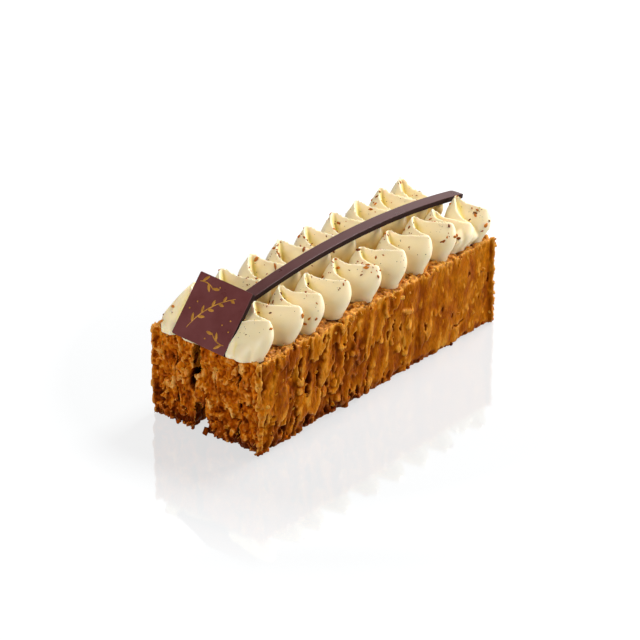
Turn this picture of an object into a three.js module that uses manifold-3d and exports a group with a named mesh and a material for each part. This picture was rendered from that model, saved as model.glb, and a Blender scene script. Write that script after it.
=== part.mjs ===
// A slice of mille feuille. Two slabs of caramelised puff pastry stand on edge side by side, two rows of
// vanilla cream are piped along their tops in waves, and a chocolate strip and plaque are set in the cream.
// Millimetres, +Z up: X runs along the slice from the plaque end, Y across it, and Z = 0 is the underside.

import * as THREE from "three";
import { mergeVertices } from "three/addons/utils/BufferGeometryUtils.js";
import Module from "manifold-3d";

const wasm = await Module();
wasm.setup();

// Driving dimensions
const clearance = 0.3;

const pastry = {
  length: 120,
  width: 45,
  height: 32,
  farThickness: 17, // the far slab is the thinner one
  gap: 0.6, // between the slabs where they come closest
  ripple: 1.1, // how far the baked sheets wave in and out
  crumble: 0.9, // how far the torn ends crumble back
  topDrop: 0.9, // how far the torn top edges fall
  cornerDrop: 1.8, // further fall of the near slab's front corner
  brokenDepth: 4, // piece broken off the near slab's lower inner corner
  brokenReach: 9,
  along: 24, // facets along, through and up a slab
  through: 4,
  up: 6,
};

const wave = {
  ridgeHeight: 11.6, // ridge above the pastry at the plaque end
  fall: 1.4, // how much lower the ridge is at the other end
  bulge: 4.6, // half width at the fattest level
  bulgeLevel: 0.33, // where that is, from 0 at the foot to 1 at the ridge
  footPinch: 0.22, // how much slimmer the foot is
  sharpness: 1.2,
  ridgeHalf: 0.35,
  turnPull: 3, // how far the foot of a turn draws in from its ridge
  lean: 2.2, // how far the ridge leans along +X
  startHeight: 6.4, // low first pass, which the plaque leans on
  startReach: 0.4, // how far it goes from the middle of its row to the turns
  levels: 5, // rings and corners of a pass
  sides: 12,
};

// Where each row turns along X, at its inner and its outer side: piping by hand steps unevenly
const nearRow = {
  innerY: -6.2,
  outerY: -18.2,
  innerX: [-54, -42.8, -30.8, -18, -4.8, 8.4, 23, 37, 45.4, 56],
  outerX: [-49, -37.6, -27, -14, 0.6, 15.4, 28.2, 41.6, 49.5, 56.5],
  startX: [-54, -53.2],
};
const farRow = {
  innerY: 1.8,
  outerY: 17.2,
  innerX: [-53, -41, -29.4, -15, 0.6, 13.4, 27, 39.8, 51],
  outerX: [-46.4, -34, -21.2, -7, 6.6, 20.2, 32.2, 45, 56],
  startX: [-53.6, -52.6],
};

const strip = {
  fromX: -50,
  toX: 66,
  crownX: 5,
  crownZ: 45.9,
  radius: 333,
  width: 4.8,
  thickness: 1.8,
  middleY: -2,
  arcSteps: 20,
};

const plaque = {
  width: 21.7,
  height: 21.3,
  thickness: 1.8,
  foot: new THREE.Vector3(-62.1, 1.2, 32.4), // middle of the front face's lower edge
  lean: THREE.MathUtils.degToRad(38),
  roll: THREE.MathUtils.degToRad(4),
  turn: THREE.MathUtils.degToRad(2),
  frontRoom: 30, // no cream lies this far in front of it
};

const crust = new THREE.MeshStandardMaterial({ color: 0xb4691f, roughness: 0.6, metalness: 0 });
const cream = new THREE.MeshStandardMaterial({ color: 0xf3e6b8, roughness: 0.45, metalness: 0 });
const chocolate = new THREE.MeshStandardMaterial({ color: 0x4a2c33, roughness: 0.35, metalness: 0 });

// Welding, joining and cutting closed meshes
function weld(geometry) {
  geometry.deleteAttribute("normal");
  geometry.deleteAttribute("uv");
  return mergeVertices(geometry);
}

function toSolid(geometry) {
  const welded = weld(geometry);
  return new wasm.Manifold(new wasm.Mesh({
    numProp: 3,
    vertProperties: new Float32Array(welded.getAttribute("position").array),
    triVerts: new Uint32Array(welded.index.array),
  }));
}

function toGeometry(solid) {
  const mesh = solid.getMesh();
  const geometry = new THREE.BufferGeometry();
  geometry.setAttribute("position", new THREE.BufferAttribute(mesh.vertProperties, mesh.numProp));
  geometry.setIndex(new THREE.BufferAttribute(mesh.triVerts, 1));
  geometry.computeVertexNormals();
  return geometry;
}

function namedMesh(name, geometry, material) {
  const mesh = new THREE.Mesh(geometry, material);
  mesh.name = name;
  return mesh;
}

// Waviness of a baked sheet, from 0 to 1
function ripple(u, v) {
  const broad = Math.sin(0.19 * u + 0.11 * v);
  const folds = Math.sin(0.43 * u - 0.16 * v + 1.3);
  const fine = Math.sin(0.83 * u + 0.29 * v + 4.1);
  return 0.5 + 0.2 * broad + 0.17 * folds + 0.13 * fine;
}

// A slab's sheets wave in and out, its torn ends crumble back, and its top edges fall away.
// outerSide is the sign of Y on the side that faces away from the gap.
function slabGeometry(fromY, toY, outerSide, brokenDepth, cornerDrop) {
  const thickness = toY - fromY;
  const box = new THREE.BoxGeometry(
    pastry.length, thickness, pastry.height, pastry.along, pastry.through, pastry.up,
  );
  box.translate(0, (fromY + toY) / 2, pastry.height / 2);
  const geometry = weld(box);
  const places = geometry.getAttribute("position");
  for (let i = 0; i < places.count; i++) {
    const x = places.getX(i);
    const y = places.getY(i);
    const z = places.getZ(i);
    const end = (2 * x) / pastry.length;
    const rise = z / pastry.height;
    const outward = outerSide * ((2 * (y - fromY)) / thickness - 1);
    const sheet = pastry.ripple * ripple(x, z) * outward ** 3;
    const crumb = pastry.crumble * ripple(2.1 * y, 1.7 * z) * end ** 9;
    const fromCorner = Math.hypot(x + pastry.length / 2, z) / pastry.brokenReach;
    const broken = brokenDepth * Math.exp(-(fromCorner ** 2)) * Math.max(0, -outward) ** 2;
    const drop = pastry.topDrop * ripple(1.6 * x, y) * Math.max(outward ** 4, end ** 8);
    const corner = cornerDrop * Math.max(0, -end) ** 8 * Math.max(0, outward) ** 2;
    places.setXYZ(i, x - crumb, y - outerSide * (sheet - broken), z - rise ** 4 * (drop + corner));
  }
  geometry.computeVertexNormals();
  return geometry;
}

// Width of a wave at a level, as a share of its bulge: a slim foot, a fat belly and a sharp ridge
function fullness(level) {
  if (level < wave.bulgeLevel) {
    return 1 - wave.footPinch * (1 - level / wave.bulgeLevel) ** 2;
  }
  const above = (level - wave.bulgeLevel) / (1 - wave.bulgeLevel);
  return Math.max(0, Math.cos((Math.PI / 2) * above)) ** wave.sharpness;
}

function turnAt(x, y, middleY, height) {
  return { x, y, height, pull: Math.sign(middleY - y) * wave.turnPull };
}

// One pass of the nozzle from turn to turn, as rings with round ends stacked from foot to ridge.
// Each corner of a ring belongs to the turn on its side, so that passes share their corners at a turn.
function passSolid(from, to) {
  const heading = Math.atan2(to.y - from.y, to.x - from.x);
  const places = [];
  for (let k = 0; k <= wave.levels; k++) {
    const level = k / wave.levels;
    const half = Math.max(wave.ridgeHalf, wave.bulge * fullness(level));
    for (let j = 0; j < wave.sides; j++) {
      const angle = (2 * Math.PI * j) / wave.sides;
      const turn = Math.cos(angle - heading) > 0 ? to : from;
      places.push(
        turn.x - wave.lean * (1 - level) + half * Math.cos(angle),
        turn.y + turn.pull * (1 - level) + half * Math.sin(angle),
        pastry.height + clearance + turn.height * level,
      );
    }
  }
  const top = wave.levels * wave.sides;
  const faces = [];
  for (let j = 0; j < wave.sides; j++) {
    const next = (j + 1) % wave.sides;
    for (let low = 0; low < top; low += wave.sides) {
      const high = low + wave.sides;
      faces.push(low + j, low + next, high + next, low + j, high + next, high + j);
    }
    if (j > 0 && next > 0) {
      faces.push(0, next, j, top, top + j, top + next);
    }
  }
  const geometry = new THREE.BufferGeometry();
  geometry.setAttribute("position", new THREE.Float32BufferAttribute(places, 3));
  geometry.setIndex(faces);
  return toSolid(geometry);
}

// A row is a low first pass and then a zigzag of passes between its inner and outer turns
function rowSolid(row) {
  const middleY = (row.innerY + row.outerY) / 2;
  const ridgeAt = (x) => wave.ridgeHeight - wave.fall * (x / pastry.length + 0.5);
  const start = row.startX.map((x, side) => {
    const y = THREE.MathUtils.lerp(middleY, side ? row.outerY : row.innerY, wave.startReach);
    return turnAt(x, y, middleY, wave.startHeight);
  });
  const turns = [];
  row.outerX.forEach((outerX, k) => {
    turns.push(turnAt(row.innerX[k], row.innerY, middleY, ridgeAt(row.innerX[k])));
    turns.push(turnAt(outerX, row.outerY, middleY, ridgeAt(outerX)));
  });
  let solid = passSolid(start[0], start[1]);
  for (let k = 1; k < turns.length; k++) {
    solid = solid.add(passSolid(turns[k - 1], turns[k]));
  }
  return solid;
}

// The strip arches along X and is the same width throughout
function stripGeometry(grow) {
  const centreZ = strip.crownZ - strip.radius;
  const fromAngle = Math.acos((strip.fromX - grow - strip.crownX) / strip.radius);
  const toAngle = Math.acos((strip.toX + grow - strip.crownX) / strip.radius);
  const outline = new THREE.Shape();
  outline.absarc(strip.crownX, centreZ, strip.radius + grow, fromAngle, toAngle, true);
  outline.absarc(strip.crownX, centreZ, strip.radius - strip.thickness - grow, toAngle, fromAngle, false);
  const geometry = new THREE.ExtrudeGeometry(outline, {
    depth: strip.width + 2 * grow,
    curveSegments: strip.arcSteps,
    bevelEnabled: false,
  });
  geometry.rotateX(Math.PI / 2);
  geometry.translate(0, strip.middleY + strip.width / 2 + grow, 0);
  return geometry;
}

// The plaque's own frame: +X through its thickness to the back, Y across, Z up its face from the foot
const plaqueTurn = new THREE.Euler(plaque.roll, plaque.lean, plaque.turn, "ZYX");

function plaqueGeometry(grow, frontRoom) {
  const geometry = new THREE.BoxGeometry(
    plaque.thickness + grow + frontRoom, plaque.width + 2 * grow, plaque.height + 2 * grow,
  );
  geometry.translate((plaque.thickness + grow - frontRoom) / 2, 0, plaque.height / 2);
  return geometry;
}

function plaqueRoom() {
  const geometry = plaqueGeometry(clearance, plaque.frontRoom);
  const turned = new THREE.Quaternion().setFromEuler(plaqueTurn);
  geometry.applyMatrix4(new THREE.Matrix4().compose(plaque.foot, turned, new THREE.Vector3(1, 1, 1)));
  return geometry;
}

// The whole slice
const slice = new THREE.Group();

const gapFarY = pastry.width / 2 - pastry.farThickness;
const gapNearY = gapFarY - pastry.gap;
slice.add(namedMesh(
  "pastry_slab_near",
  slabGeometry(-pastry.width / 2, gapNearY, -1, pastry.brokenDepth, pastry.cornerDrop),
  crust,
));
slice.add(namedMesh("pastry_slab_far", slabGeometry(gapFarY, pastry.width / 2, 1, 0, 0), crust));

const setIn = toSolid(stripGeometry(clearance)).add(toSolid(plaqueRoom()));
slice.add(namedMesh("cream_row_near", toGeometry(rowSolid(nearRow).subtract(setIn)), cream));
slice.add(namedMesh("cream_row_far", toGeometry(rowSolid(farRow).subtract(setIn)), cream));

slice.add(namedMesh("chocolate_strip", weld(stripGeometry(0)), chocolate));

const plaqueMesh = namedMesh("chocolate_plaque", plaqueGeometry(0, 0), chocolate);
plaqueMesh.position.copy(plaque.foot);
plaqueMesh.rotation.copy(plaqueTurn);
slice.add(plaqueMesh);

export default slice;
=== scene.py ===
import itertools
import math

import bpy
import numpy as np
from mathutils import Matrix, Vector


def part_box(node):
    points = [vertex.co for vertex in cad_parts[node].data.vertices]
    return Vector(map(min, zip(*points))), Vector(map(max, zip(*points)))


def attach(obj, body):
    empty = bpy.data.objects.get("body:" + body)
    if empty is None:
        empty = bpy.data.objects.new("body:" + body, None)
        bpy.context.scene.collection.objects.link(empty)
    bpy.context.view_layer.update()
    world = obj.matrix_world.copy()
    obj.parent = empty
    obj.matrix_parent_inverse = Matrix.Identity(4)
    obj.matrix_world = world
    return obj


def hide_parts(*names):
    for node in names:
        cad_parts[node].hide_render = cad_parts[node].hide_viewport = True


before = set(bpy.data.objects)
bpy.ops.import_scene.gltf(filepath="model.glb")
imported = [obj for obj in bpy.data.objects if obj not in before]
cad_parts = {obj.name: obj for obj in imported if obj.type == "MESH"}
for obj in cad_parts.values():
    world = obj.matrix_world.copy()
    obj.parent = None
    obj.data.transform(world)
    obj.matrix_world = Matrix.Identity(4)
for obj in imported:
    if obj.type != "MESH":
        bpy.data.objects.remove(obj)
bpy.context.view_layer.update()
mm = 0.001
print("frame loaded", sorted(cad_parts))


# Camera at the photograph's view

photoView = {
    "azimuth": -50.345, "elevation": 26.758, "distance": 1.0, "target": (0, 0, 0.020),
    "focalPixels": 3075.4, "framePixels": 640, "targetPixel": (328.1, 311.7), "sensorWidth": 36,
}


def makeCamera(view):
    azimuth, elevation = math.radians(view["azimuth"]), math.radians(view["elevation"])
    back = Vector((
        math.sin(azimuth) * math.cos(elevation),
        -math.cos(azimuth) * math.cos(elevation),
        math.sin(elevation),
    ))
    data = bpy.data.cameras.new("photoCamera")
    data.sensor_width = view["sensorWidth"]
    data.lens = view["focalPixels"] / view["framePixels"] * view["sensorWidth"]
    data.shift_x = 0.5 - view["targetPixel"][0] / view["framePixels"]
    data.shift_y = view["targetPixel"][1] / view["framePixels"] - 0.5
    data.clip_start = 0.05
    camera = bpy.data.objects.new("photoCamera", data)
    camera.location = Vector(view["target"]) + back * view["distance"]
    camera.rotation_euler = (-back).to_track_quat("-Z", "Y").to_euler()
    bpy.context.scene.collection.objects.link(camera)
    bpy.context.scene.camera = camera


makeCamera(photoView)
print("camera set")


# Number helpers: everything below is in millimetres until a mesh is made

def smoothStep(value):
    value = np.clip(value, 0, 1)
    return value * value * (3 - 2 * value)


def smoothNoise(seed, *coords):    # gradient noise, about -1 to 1
    dims = len(coords)
    period = 128 if dims == 2 else 32
    slopes = np.random.default_rng(seed).normal(size=(period,) * dims + (dims,)).astype(np.float32)
    slopes /= np.linalg.norm(slopes, axis=-1, keepdims=True)
    coords = np.broadcast_arrays(*[np.asarray(c, np.float32) for c in coords])
    cells = [np.floor(c).astype(np.int32) for c in coords]
    parts = [c - i for c, i in zip(coords, cells)]
    fades = [p * p * p * (p * (p * 6 - 15) + 10) for p in parts]
    total = np.zeros(coords[0].shape, np.float32)
    for corner in itertools.product((0, 1), repeat=dims):
        slope = slopes[tuple((i + o) % period for i, o in zip(cells, corner))]
        value = sum(slope[..., k] * (parts[k] - corner[k]) for k in range(dims))
        for k in range(dims):
            value = value * (fades[k] if corner[k] else 1 - fades[k])
        total += value
    return total * 1.55    # fills the range


def lineNoise(seed, place):    # the same along one line
    return smoothNoise(seed, place, place * 0 + 0.5)


def softened(field, reach):    # box blur three times along each axis
    for axis in range(field.ndim):
        for _ in range(3):
            wide = np.pad(field, [(reach, reach) if k == axis else (0, 0) for k in range(field.ndim)], "edge")
            total = np.cumsum(wide, axis=axis, dtype=np.float64)
            total = np.insert(total, 0, 0, axis=axis)
            size = field.shape[axis]
            high = np.take(total, np.arange(2 * reach + 1, 2 * reach + 1 + size), axis=axis)
            field = ((high - np.take(total, np.arange(size), axis=axis)) / (2 * reach + 1)).astype(np.float32)
    return field


def surfaceNets(field, axes):    # closed quad skin round the samples below zero
    inside = field < 0
    corners = list(itertools.product((0, 1), repeat=3))
    cut = [slice(None, -1), slice(1, None)]
    filled = sum(inside[tuple(cut[c] for c in corner)].astype(np.int8) for corner in corners)
    cells = np.argwhere((filled > 0) & (filled < 8))
    values = np.stack([field[tuple((cells + corner).T)] for corner in corners], 1)
    place, hits = np.zeros((len(cells), 3)), np.zeros((len(cells), 1))
    for a, b in itertools.combinations(range(8), 2):
        step = np.subtract(corners[b], corners[a])
        if np.abs(step).sum() != 1:
            continue
        crossing = (values[:, a] < 0) != (values[:, b] < 0)
        share = values[crossing, a] / (values[crossing, a] - values[crossing, b])
        place[crossing] += corners[a] + share[:, None] * step
        hits[crossing] += 1
    place /= hits
    lowest, highest = [np.stack([axes[k][cells[:, k] + end] for k in range(3)], 1) for end in (0, 1)]
    verts = lowest + place * (highest - lowest)
    index = np.full(filled.shape, -1, np.int64)
    index[tuple(cells.T)] = np.arange(len(cells))
    faces = []
    for k in range(3):
        first, other = (k + 1) % 3, (k + 2) % 3
        along = [slice(None)] * 3
        along[k] = slice(None, -1)
        low, high = inside[tuple(along)], np.roll(inside, -1, k)[tuple(along)]
        for filledFirst in (True, False):
            spots = np.argwhere((low != high) & (low == filledFirst))
            ring = []
            for stepFirst, stepOther in ((1, 1), (0, 1), (0, 0), (1, 0)):
                cell = spots.copy()
                cell[:, first] -= stepFirst
                cell[:, other] -= stepOther
                ring.append(index[tuple(cell.T)])
            faces.append(np.stack(ring if filledFirst else ring[::-1], 1))
    return verts, np.concatenate(faces)


def neighbourMean(verts, faces):
    total, hits = np.zeros_like(verts), np.zeros(len(verts))
    for k in range(faces.shape[1]):
        here, there = faces[:, k], faces[:, (k + 1) % faces.shape[1]]
        for a, b in ((here, there), (there, here)):
            hits += np.bincount(a, minlength=len(verts))
            for axis in range(3):
                total[:, axis] += np.bincount(a, weights=verts[b, axis], minlength=len(verts))
    return total / np.maximum(hits, 1)[:, None]


def smoothed(verts, faces, rounds):    # evens out the skin without shrinking it
    for share in (0.5, -0.52) * rounds:
        verts = verts + share * (neighbourMean(verts, faces) - verts)
    return verts


def vertNormals(verts, faces):
    across = np.cross(verts[faces[:, 2]] - verts[faces[:, 0]], verts[faces[:, -1]] - verts[faces[:, 1]])
    total = np.zeros_like(verts)
    for k in range(faces.shape[1]):
        for axis in range(3):
            total[:, axis] += np.bincount(faces[:, k], weights=across[:, axis], minlength=len(verts))
    return total / np.maximum(np.linalg.norm(total, axis=1, keepdims=True), 1e-9)


def reliefOf(verts, faces, rounds):    # how far each point stands out of its surroundings
    flat = verts
    for _ in range(rounds):
        flat = neighbourMean(flat, faces)
    return ((verts - flat) * vertNormals(verts, faces)).sum(1)


def makeMesh(name, verts, faces, material, masks=None):
    mesh = bpy.data.meshes.new(name)
    corners = faces.shape[1]
    mesh.vertices.add(len(verts))
    mesh.vertices.foreach_set("co", (np.asarray(verts) * mm).astype(np.float32).ravel())
    mesh.loops.add(faces.size)
    mesh.loops.foreach_set("vertex_index", faces.astype(np.int32).ravel())
    mesh.polygons.add(len(faces))
    mesh.polygons.foreach_set("loop_start", np.arange(0, faces.size, corners, dtype=np.int32))
    mesh.polygons.foreach_set("use_smooth", np.ones(len(faces), bool))
    mesh.update(calc_edges=True)
    for mask, values in (masks or {}).items():
        layer = mesh.attributes.new(mask, "FLOAT", "POINT")
        layer.data.foreach_set("value", np.asarray(values, np.float32))
    mesh.materials.append(material)
    piece = bpy.data.objects.new(name, mesh)
    bpy.context.scene.collection.objects.link(piece)
    print("made", name, len(verts), "points", int(len(faces) * (corners - 2)), "triangles")
    return piece


def thinned(piece, most):    # merges the smallest triangles where the skin is smooth
    count = sum(len(face.vertices) - 2 for face in piece.data.polygons)
    if count <= most:
        return
    modifier = piece.modifiers.new("thinned", "DECIMATE")
    modifier.ratio = most / count
    graph = bpy.context.evaluated_depsgraph_get()
    mesh = bpy.data.meshes.new_from_object(piece.evaluated_get(graph), depsgraph=graph)
    piece.modifiers.clear()
    full, piece.data = piece.data, mesh
    mesh.name = piece.name
    bpy.data.meshes.remove(full)
    print("thinned", piece.name, "to", sum(len(face.vertices) - 2 for face in mesh.polygons), "triangles")


def place(piece, slot, *nodes):    # every piece rides on the one body
    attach(piece, "root")
    if nodes:
        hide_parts(*nodes)


def nodeBox(node):
    low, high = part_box(node)
    return np.array(low) / mm, np.array(high) / mm


# Materials

def newMaterial(name, shine):
    material = bpy.data.materials.new(name)
    material.use_nodes = True
    shader = material.node_tree.nodes["Principled BSDF"]
    for socket, value in shine.items():
        shader.inputs[socket].default_value = value
    return material, material.node_tree, shader


def addNode(tree, kind, values=None, **settings):
    node = tree.nodes.new(kind)
    for key, value in settings.items():
        setattr(node, key, value)
    for socket, value in (values or {}).items():
        node.inputs[socket].default_value = value
    return node


def addRamp(tree, source, stops):
    ramp = addNode(tree, "ShaderNodeValToRGB")
    points = ramp.color_ramp.elements
    while len(points) < len(stops):
        points.new(0.5)
    for point, (where, colour) in zip(points, stops):
        point.position = where
        point.color = (*colour, 1)
    tree.links.new(source, ramp.inputs["Fac"])
    return ramp.outputs["Color"]


def addMix(tree, amount, first, second, blend="MIX"):
    mix = addNode(tree, "ShaderNodeMix", data_type="RGBA", blend_type=blend)
    for socket, value in ((mix.inputs[0], amount), (mix.inputs[6], first), (mix.inputs[7], second)):
        if hasattr(value, "is_linked"):
            tree.links.new(value, socket)
        else:
            socket.default_value = value if np.isscalar(value) else (*value, 1)
    return mix.outputs[2]


def addMath(tree, operation, first, second=0.0, clamp=False):
    node = addNode(tree, "ShaderNodeMath", operation=operation, use_clamp=clamp)
    for socket, value in zip(node.inputs, (first, second)):
        if hasattr(value, "is_linked"):
            tree.links.new(value, socket)
        else:
            socket.default_value = value
    return node.outputs[0]


def addSum(tree, sources, shares):    # adds up the sources, each times its share
    total = 0.0
    for source, share in zip(sources, shares):
        total = addMath(tree, "ADD", addMath(tree, "MULTIPLY", source, share), total)
    return total


def addMask(tree, name):
    return addNode(tree, "ShaderNodeAttribute", attribute_name=name).outputs["Fac"]


def makeMottleGroup():    # uneven patches and fine grain, shared by every finish
    tree = bpy.data.node_groups.new("mottle", "ShaderNodeTree")
    for name in ("Patch Scale", "Grain Scale", "Upright"):
        tree.interface.new_socket(name, in_out="INPUT", socket_type="NodeSocketFloat")
    for name in ("Patches", "Grain"):
        tree.interface.new_socket(name, in_out="OUTPUT", socket_type="NodeSocketFloat")
    entry, leave = addNode(tree, "NodeGroupInput"), addNode(tree, "NodeGroupOutput")
    stretch = addNode(tree, "ShaderNodeCombineXYZ", {"X": 1.0, "Y": 1.0})
    tree.links.new(entry.outputs["Upright"], stretch.inputs["Z"])
    spread = addNode(tree, "ShaderNodeVectorMath", operation="MULTIPLY")
    tree.links.new(addNode(tree, "ShaderNodeTexCoord").outputs["Object"], spread.inputs[0])
    tree.links.new(stretch.outputs["Vector"], spread.inputs[1])
    where = spread.outputs["Vector"]
    for name, scale, detail in (("Patches", "Patch Scale", 4.0), ("Grain", "Grain Scale", 3.0)):
        noise = addNode(tree, "ShaderNodeTexNoise", {"Detail": detail, "Roughness": 0.6})
        tree.links.new(where, noise.inputs["Vector"])
        tree.links.new(entry.outputs[scale], noise.inputs["Scale"])
        tree.links.new(noise.outputs["Fac"], leave.inputs[name])
    return tree


mottleGroup = makeMottleGroup()


def addMottle(tree, patchScale, grainScale, upright=1.0):    # upright below 1 draws the pattern out along Z
    node = addNode(tree, "ShaderNodeGroup", node_tree=mottleGroup)
    node.inputs["Upright"].default_value = upright
    node.inputs["Patch Scale"].default_value = patchScale
    node.inputs["Grain Scale"].default_value = grainScale
    return node.outputs["Patches"], node.outputs["Grain"]


def addRoughness(tree, shader, source, share, smoothest):
    rough = addMath(tree, "ADD", addMath(tree, "MULTIPLY", source, share), smoothest)
    tree.links.new(rough, shader.inputs["Roughness"])


def addBump(tree, shader, height, strength, distance):
    bump = addNode(tree, "ShaderNodeBump", {"Strength": strength, "Distance": distance})
    tree.links.new(height, bump.inputs["Height"])
    tree.links.new(bump.outputs["Normal"], shader.inputs["Normal"])


pastryFinish = {
    # crack is a painted shade, darker in every recess; deep is a painted shade, near black inside the carved
    # pockets and cracks
    "crack": (0.100, 0.017, 0.0004), "holeShade": (0.010, 0.0015, 0.0002),
    "skin": [(0.25, (0.190, 0.030, 0.0004)), (0.55, (0.360, 0.078, 0.0008)), (0.78, (0.560, 0.165, 0.003)),
             (1.0, (0.760, 0.310, 0.030))],
    "torn": [(0.15, (0.095, 0.010, 0.0004)), (0.45, (0.390, 0.070, 0.0012)), (0.72, (0.670, 0.185, 0.005)),
             (1.0, (0.900, 0.460, 0.120))],
    # edge is the pale lip colour, also laid on every raised bump as a painted highlight
    "edge": (0.850, 0.380, 0.065), "flaked": (0.560, 0.290, 0.085), "sheen": (1.0, 0.50, 0.12, 1.0),
    # the hollow share in skinShares and tornShares paints shade in the hollows and light on the bumps
    "glow": (1.0, 0.35, 0.06), "skinShares": (0.55, 0.7, 0.5, -0.35), "tornShares": (0.35, 0.75, 0.25, -0.35),
    "recessShadeShare": -1.5, "rimShare": 3.2, "bumpHighlightShare": 0.4, "lipAndHighlightMost": 0.85, "grainShare": 0.6,
    "grainShades": [(0.3, (0.35,) * 3), (0.7, (1.15,) * 3)], "roughShares": (0.35, 0.2), "smoothest": 0.22,
    "glaze": 0.9, "mottle": (170.0, 1400.0, 0.45), "bump": (0.5, 0.0004),
}


def makePastryMaterial(finish):
    material, tree, shader = newMaterial("bakedPastry", {
        "Roughness": 0.5, "IOR": 1.2, "Specular IOR Level": 0.08, "Specular Tint": finish["sheen"],
        "Subsurface Weight": 0.2, "Subsurface Radius": finish["glow"], "Subsurface Scale": 0.0015,
        "Coat Roughness": 0.2, "Coat IOR": 1.4,
    })
    patches, grain = addMottle(tree, *finish["mottle"])
    names = ("relief", "hollow", "tint", "rim", "crumb", "low")
    relief, hollow, tint, rim, crumb, low = [addMask(tree, name) for name in names]
    shades = (patches, tint, hollow, low)
    # painted shade and light: the hollow mask darkens the hollows and lightens the bumps
    skin = addRamp(tree, addSum(tree, shades, finish["skinShares"]), finish["skin"])
    torn = addRamp(tree, addSum(tree, shades, finish["tornShares"]), finish["torn"])
    base = addMix(tree, crumb, skin, torn)
    base = addMix(tree, addMask(tree, "flaked"), base, finish["flaked"])
    # painted shade: the recessed points take the crack colour
    crack = addMath(tree, "MULTIPLY", relief, finish["recessShadeShare"], clamp=True)
    base = addMix(tree, crack, base, finish["crack"])
    # pale torn lips along the rims, and a painted highlight on every raised bump
    edge = addMath(tree, "ADD", addMath(tree, "MULTIPLY", rim, finish["rimShare"]), finish["bumpHighlightShare"])
    edge = addMath(tree, "MULTIPLY", relief, edge, clamp=True)
    base = addMix(tree, addMath(tree, "MULTIPLY", edge, finish["lipAndHighlightMost"]), base, finish["edge"])
    base = addMix(tree, finish["grainShare"], base, addRamp(tree, grain, finish["grainShades"]), "MULTIPLY")
    # painted shade: near black inside the carved pockets and cracks, where the low mask passes 1
    base = addMix(tree, addMath(tree, "SUBTRACT", low, 1.0, clamp=True), base, finish["holeShade"])
    tree.links.new(base, shader.inputs["Base Color"])
    rough = addMath(tree, "ADD", addSum(tree, (patches, crumb), finish["roughShares"]), finish["smoothest"])
    tree.links.new(rough, shader.inputs["Roughness"])
    glaze = addMath(tree, "MULTIPLY", relief, finish["glaze"], clamp=True)
    tree.links.new(glaze, shader.inputs["Coat Weight"])
    addBump(tree, shader, grain, *finish["bump"])
    return material


creamFinish = {
    # pocket is a painted shade, a deep yellow for the hollows
    "pale": (0.870, 0.732, 0.465), "warm": (0.850, 0.692, 0.385), "pocket": (0.930, 0.720, 0.050),
    # crest is a painted highlight, a paler colour along the ridges
    "crestHighlight": (0.960, 0.890, 0.720), "shade": (0.900, 0.620, 0.120), "scatter": (1.0, 0.72, 0.34),
    "pocketShare": -1.1, "crestHighlightShare": 3.0, "mottle": (260.0, 2600.0), "rough": (0.2, 0.32),
    "bump": (0.12, 0.00015),
}


def makeCreamMaterial(finish):
    material, tree, shader = newMaterial("vanillaCream", {
        "Roughness": 0.42, "Subsurface Weight": 0.35, "Subsurface Radius": finish["scatter"],
        "Subsurface Scale": 0.0009, "Specular IOR Level": 0.5,
    })
    patches, grain = addMottle(tree, *finish["mottle"])
    base = addMix(tree, patches, finish["pale"], finish["warm"])
    # painted shade: the hollows take the pocket colour; painted highlight: the crests take a paler one
    for mask, shade in (("hollow", "pocket"), ("relief", "crestHighlight")):
        share = addMath(tree, "MULTIPLY", addMask(tree, mask), finish[shade + "Share"], clamp=True)
        base = addMix(tree, share, base, finish[shade])
    base = addMix(tree, addMask(tree, "shade"), base, finish["shade"])
    tree.links.new(base, shader.inputs["Base Color"])
    addRoughness(tree, shader, grain, *finish["rough"])
    addBump(tree, shader, grain, *finish["bump"])
    return material


chocolateFinish = {
    # the front and top take a copy of the chocolate lighter than its own colour, a painted sheen mottled at
    # random; the cut colour on the sides is the chocolate's own
    "darkWithSheen": (0.140, 0.036, 0.034), "bloomWithSheen": (0.195, 0.060, 0.058), "cut": (0.016, 0.003, 0.002),
    "mottle": (110.0, 1800.0), "rough": (0.2, 0.2), "cutFrom": 0.8, "cutDull": 0.5, "bump": (0.08, 0.0001),
}


def makeChocolateMaterial(finish):
    material, tree, shader = newMaterial("darkChocolate", {"Roughness": 0.3, "Specular IOR Level": 0.2})
    patches, grain = addMottle(tree, *finish["mottle"])
    base = addRamp(tree, patches, [(0.35, finish["darkWithSheen"]), (0.8, finish["bloomWithSheen"])])
    # painted sheen: where the cut mask is low the face keeps the lighter colour
    cut = addMask(tree, "cut")
    tree.links.new(addMix(tree, cut, base, finish["cut"]), shader.inputs["Base Color"])
    share, smoothest = finish["rough"]
    onCut = addMath(tree, "GREATER_THAN", cut, finish["cutFrom"])
    rough = addMath(tree, "ADD", addSum(tree, (patches, onCut), (share, finish["cutDull"])), smoothest)
    tree.links.new(rough, shader.inputs["Roughness"])
    addBump(tree, shader, grain, *finish["bump"])
    return material


crumbFinish = {
    "toast": (0.680, 0.205, 0.018), "burnt": (0.150, 0.036, 0.005), "mottle": (700.0, 3000.0),
    "patchShare": 0.5, "patchShades": [(0.3, (0.4,) * 3), (0.7, (1.0,) * 3)], "bump": (0.4, 0.0002),
}


def makeCrumbMaterial(finish):
    material, tree, shader = newMaterial("caramelCrumb", {"Roughness": 0.6, "Specular IOR Level": 0.2})
    patches, grain = addMottle(tree, *finish["mottle"])
    tint = addMix(tree, addMask(tree, "tint"), finish["burnt"], finish["toast"])
    patchy = addRamp(tree, patches, finish["patchShades"])
    base = addMix(tree, finish["patchShare"], tint, patchy, "MULTIPLY")
    tree.links.new(base, shader.inputs["Base Color"])
    addBump(tree, shader, grain, *finish["bump"])
    return material


speckFinish = {
    "colours": [(0.4, (0.070, 0.045, 0.018)), (0.65, (0.200, 0.120, 0.040))],    # seed and pod
    "mottle": (900.0, 4000.0), "bump": (0.2, 0.0001),
}


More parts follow.
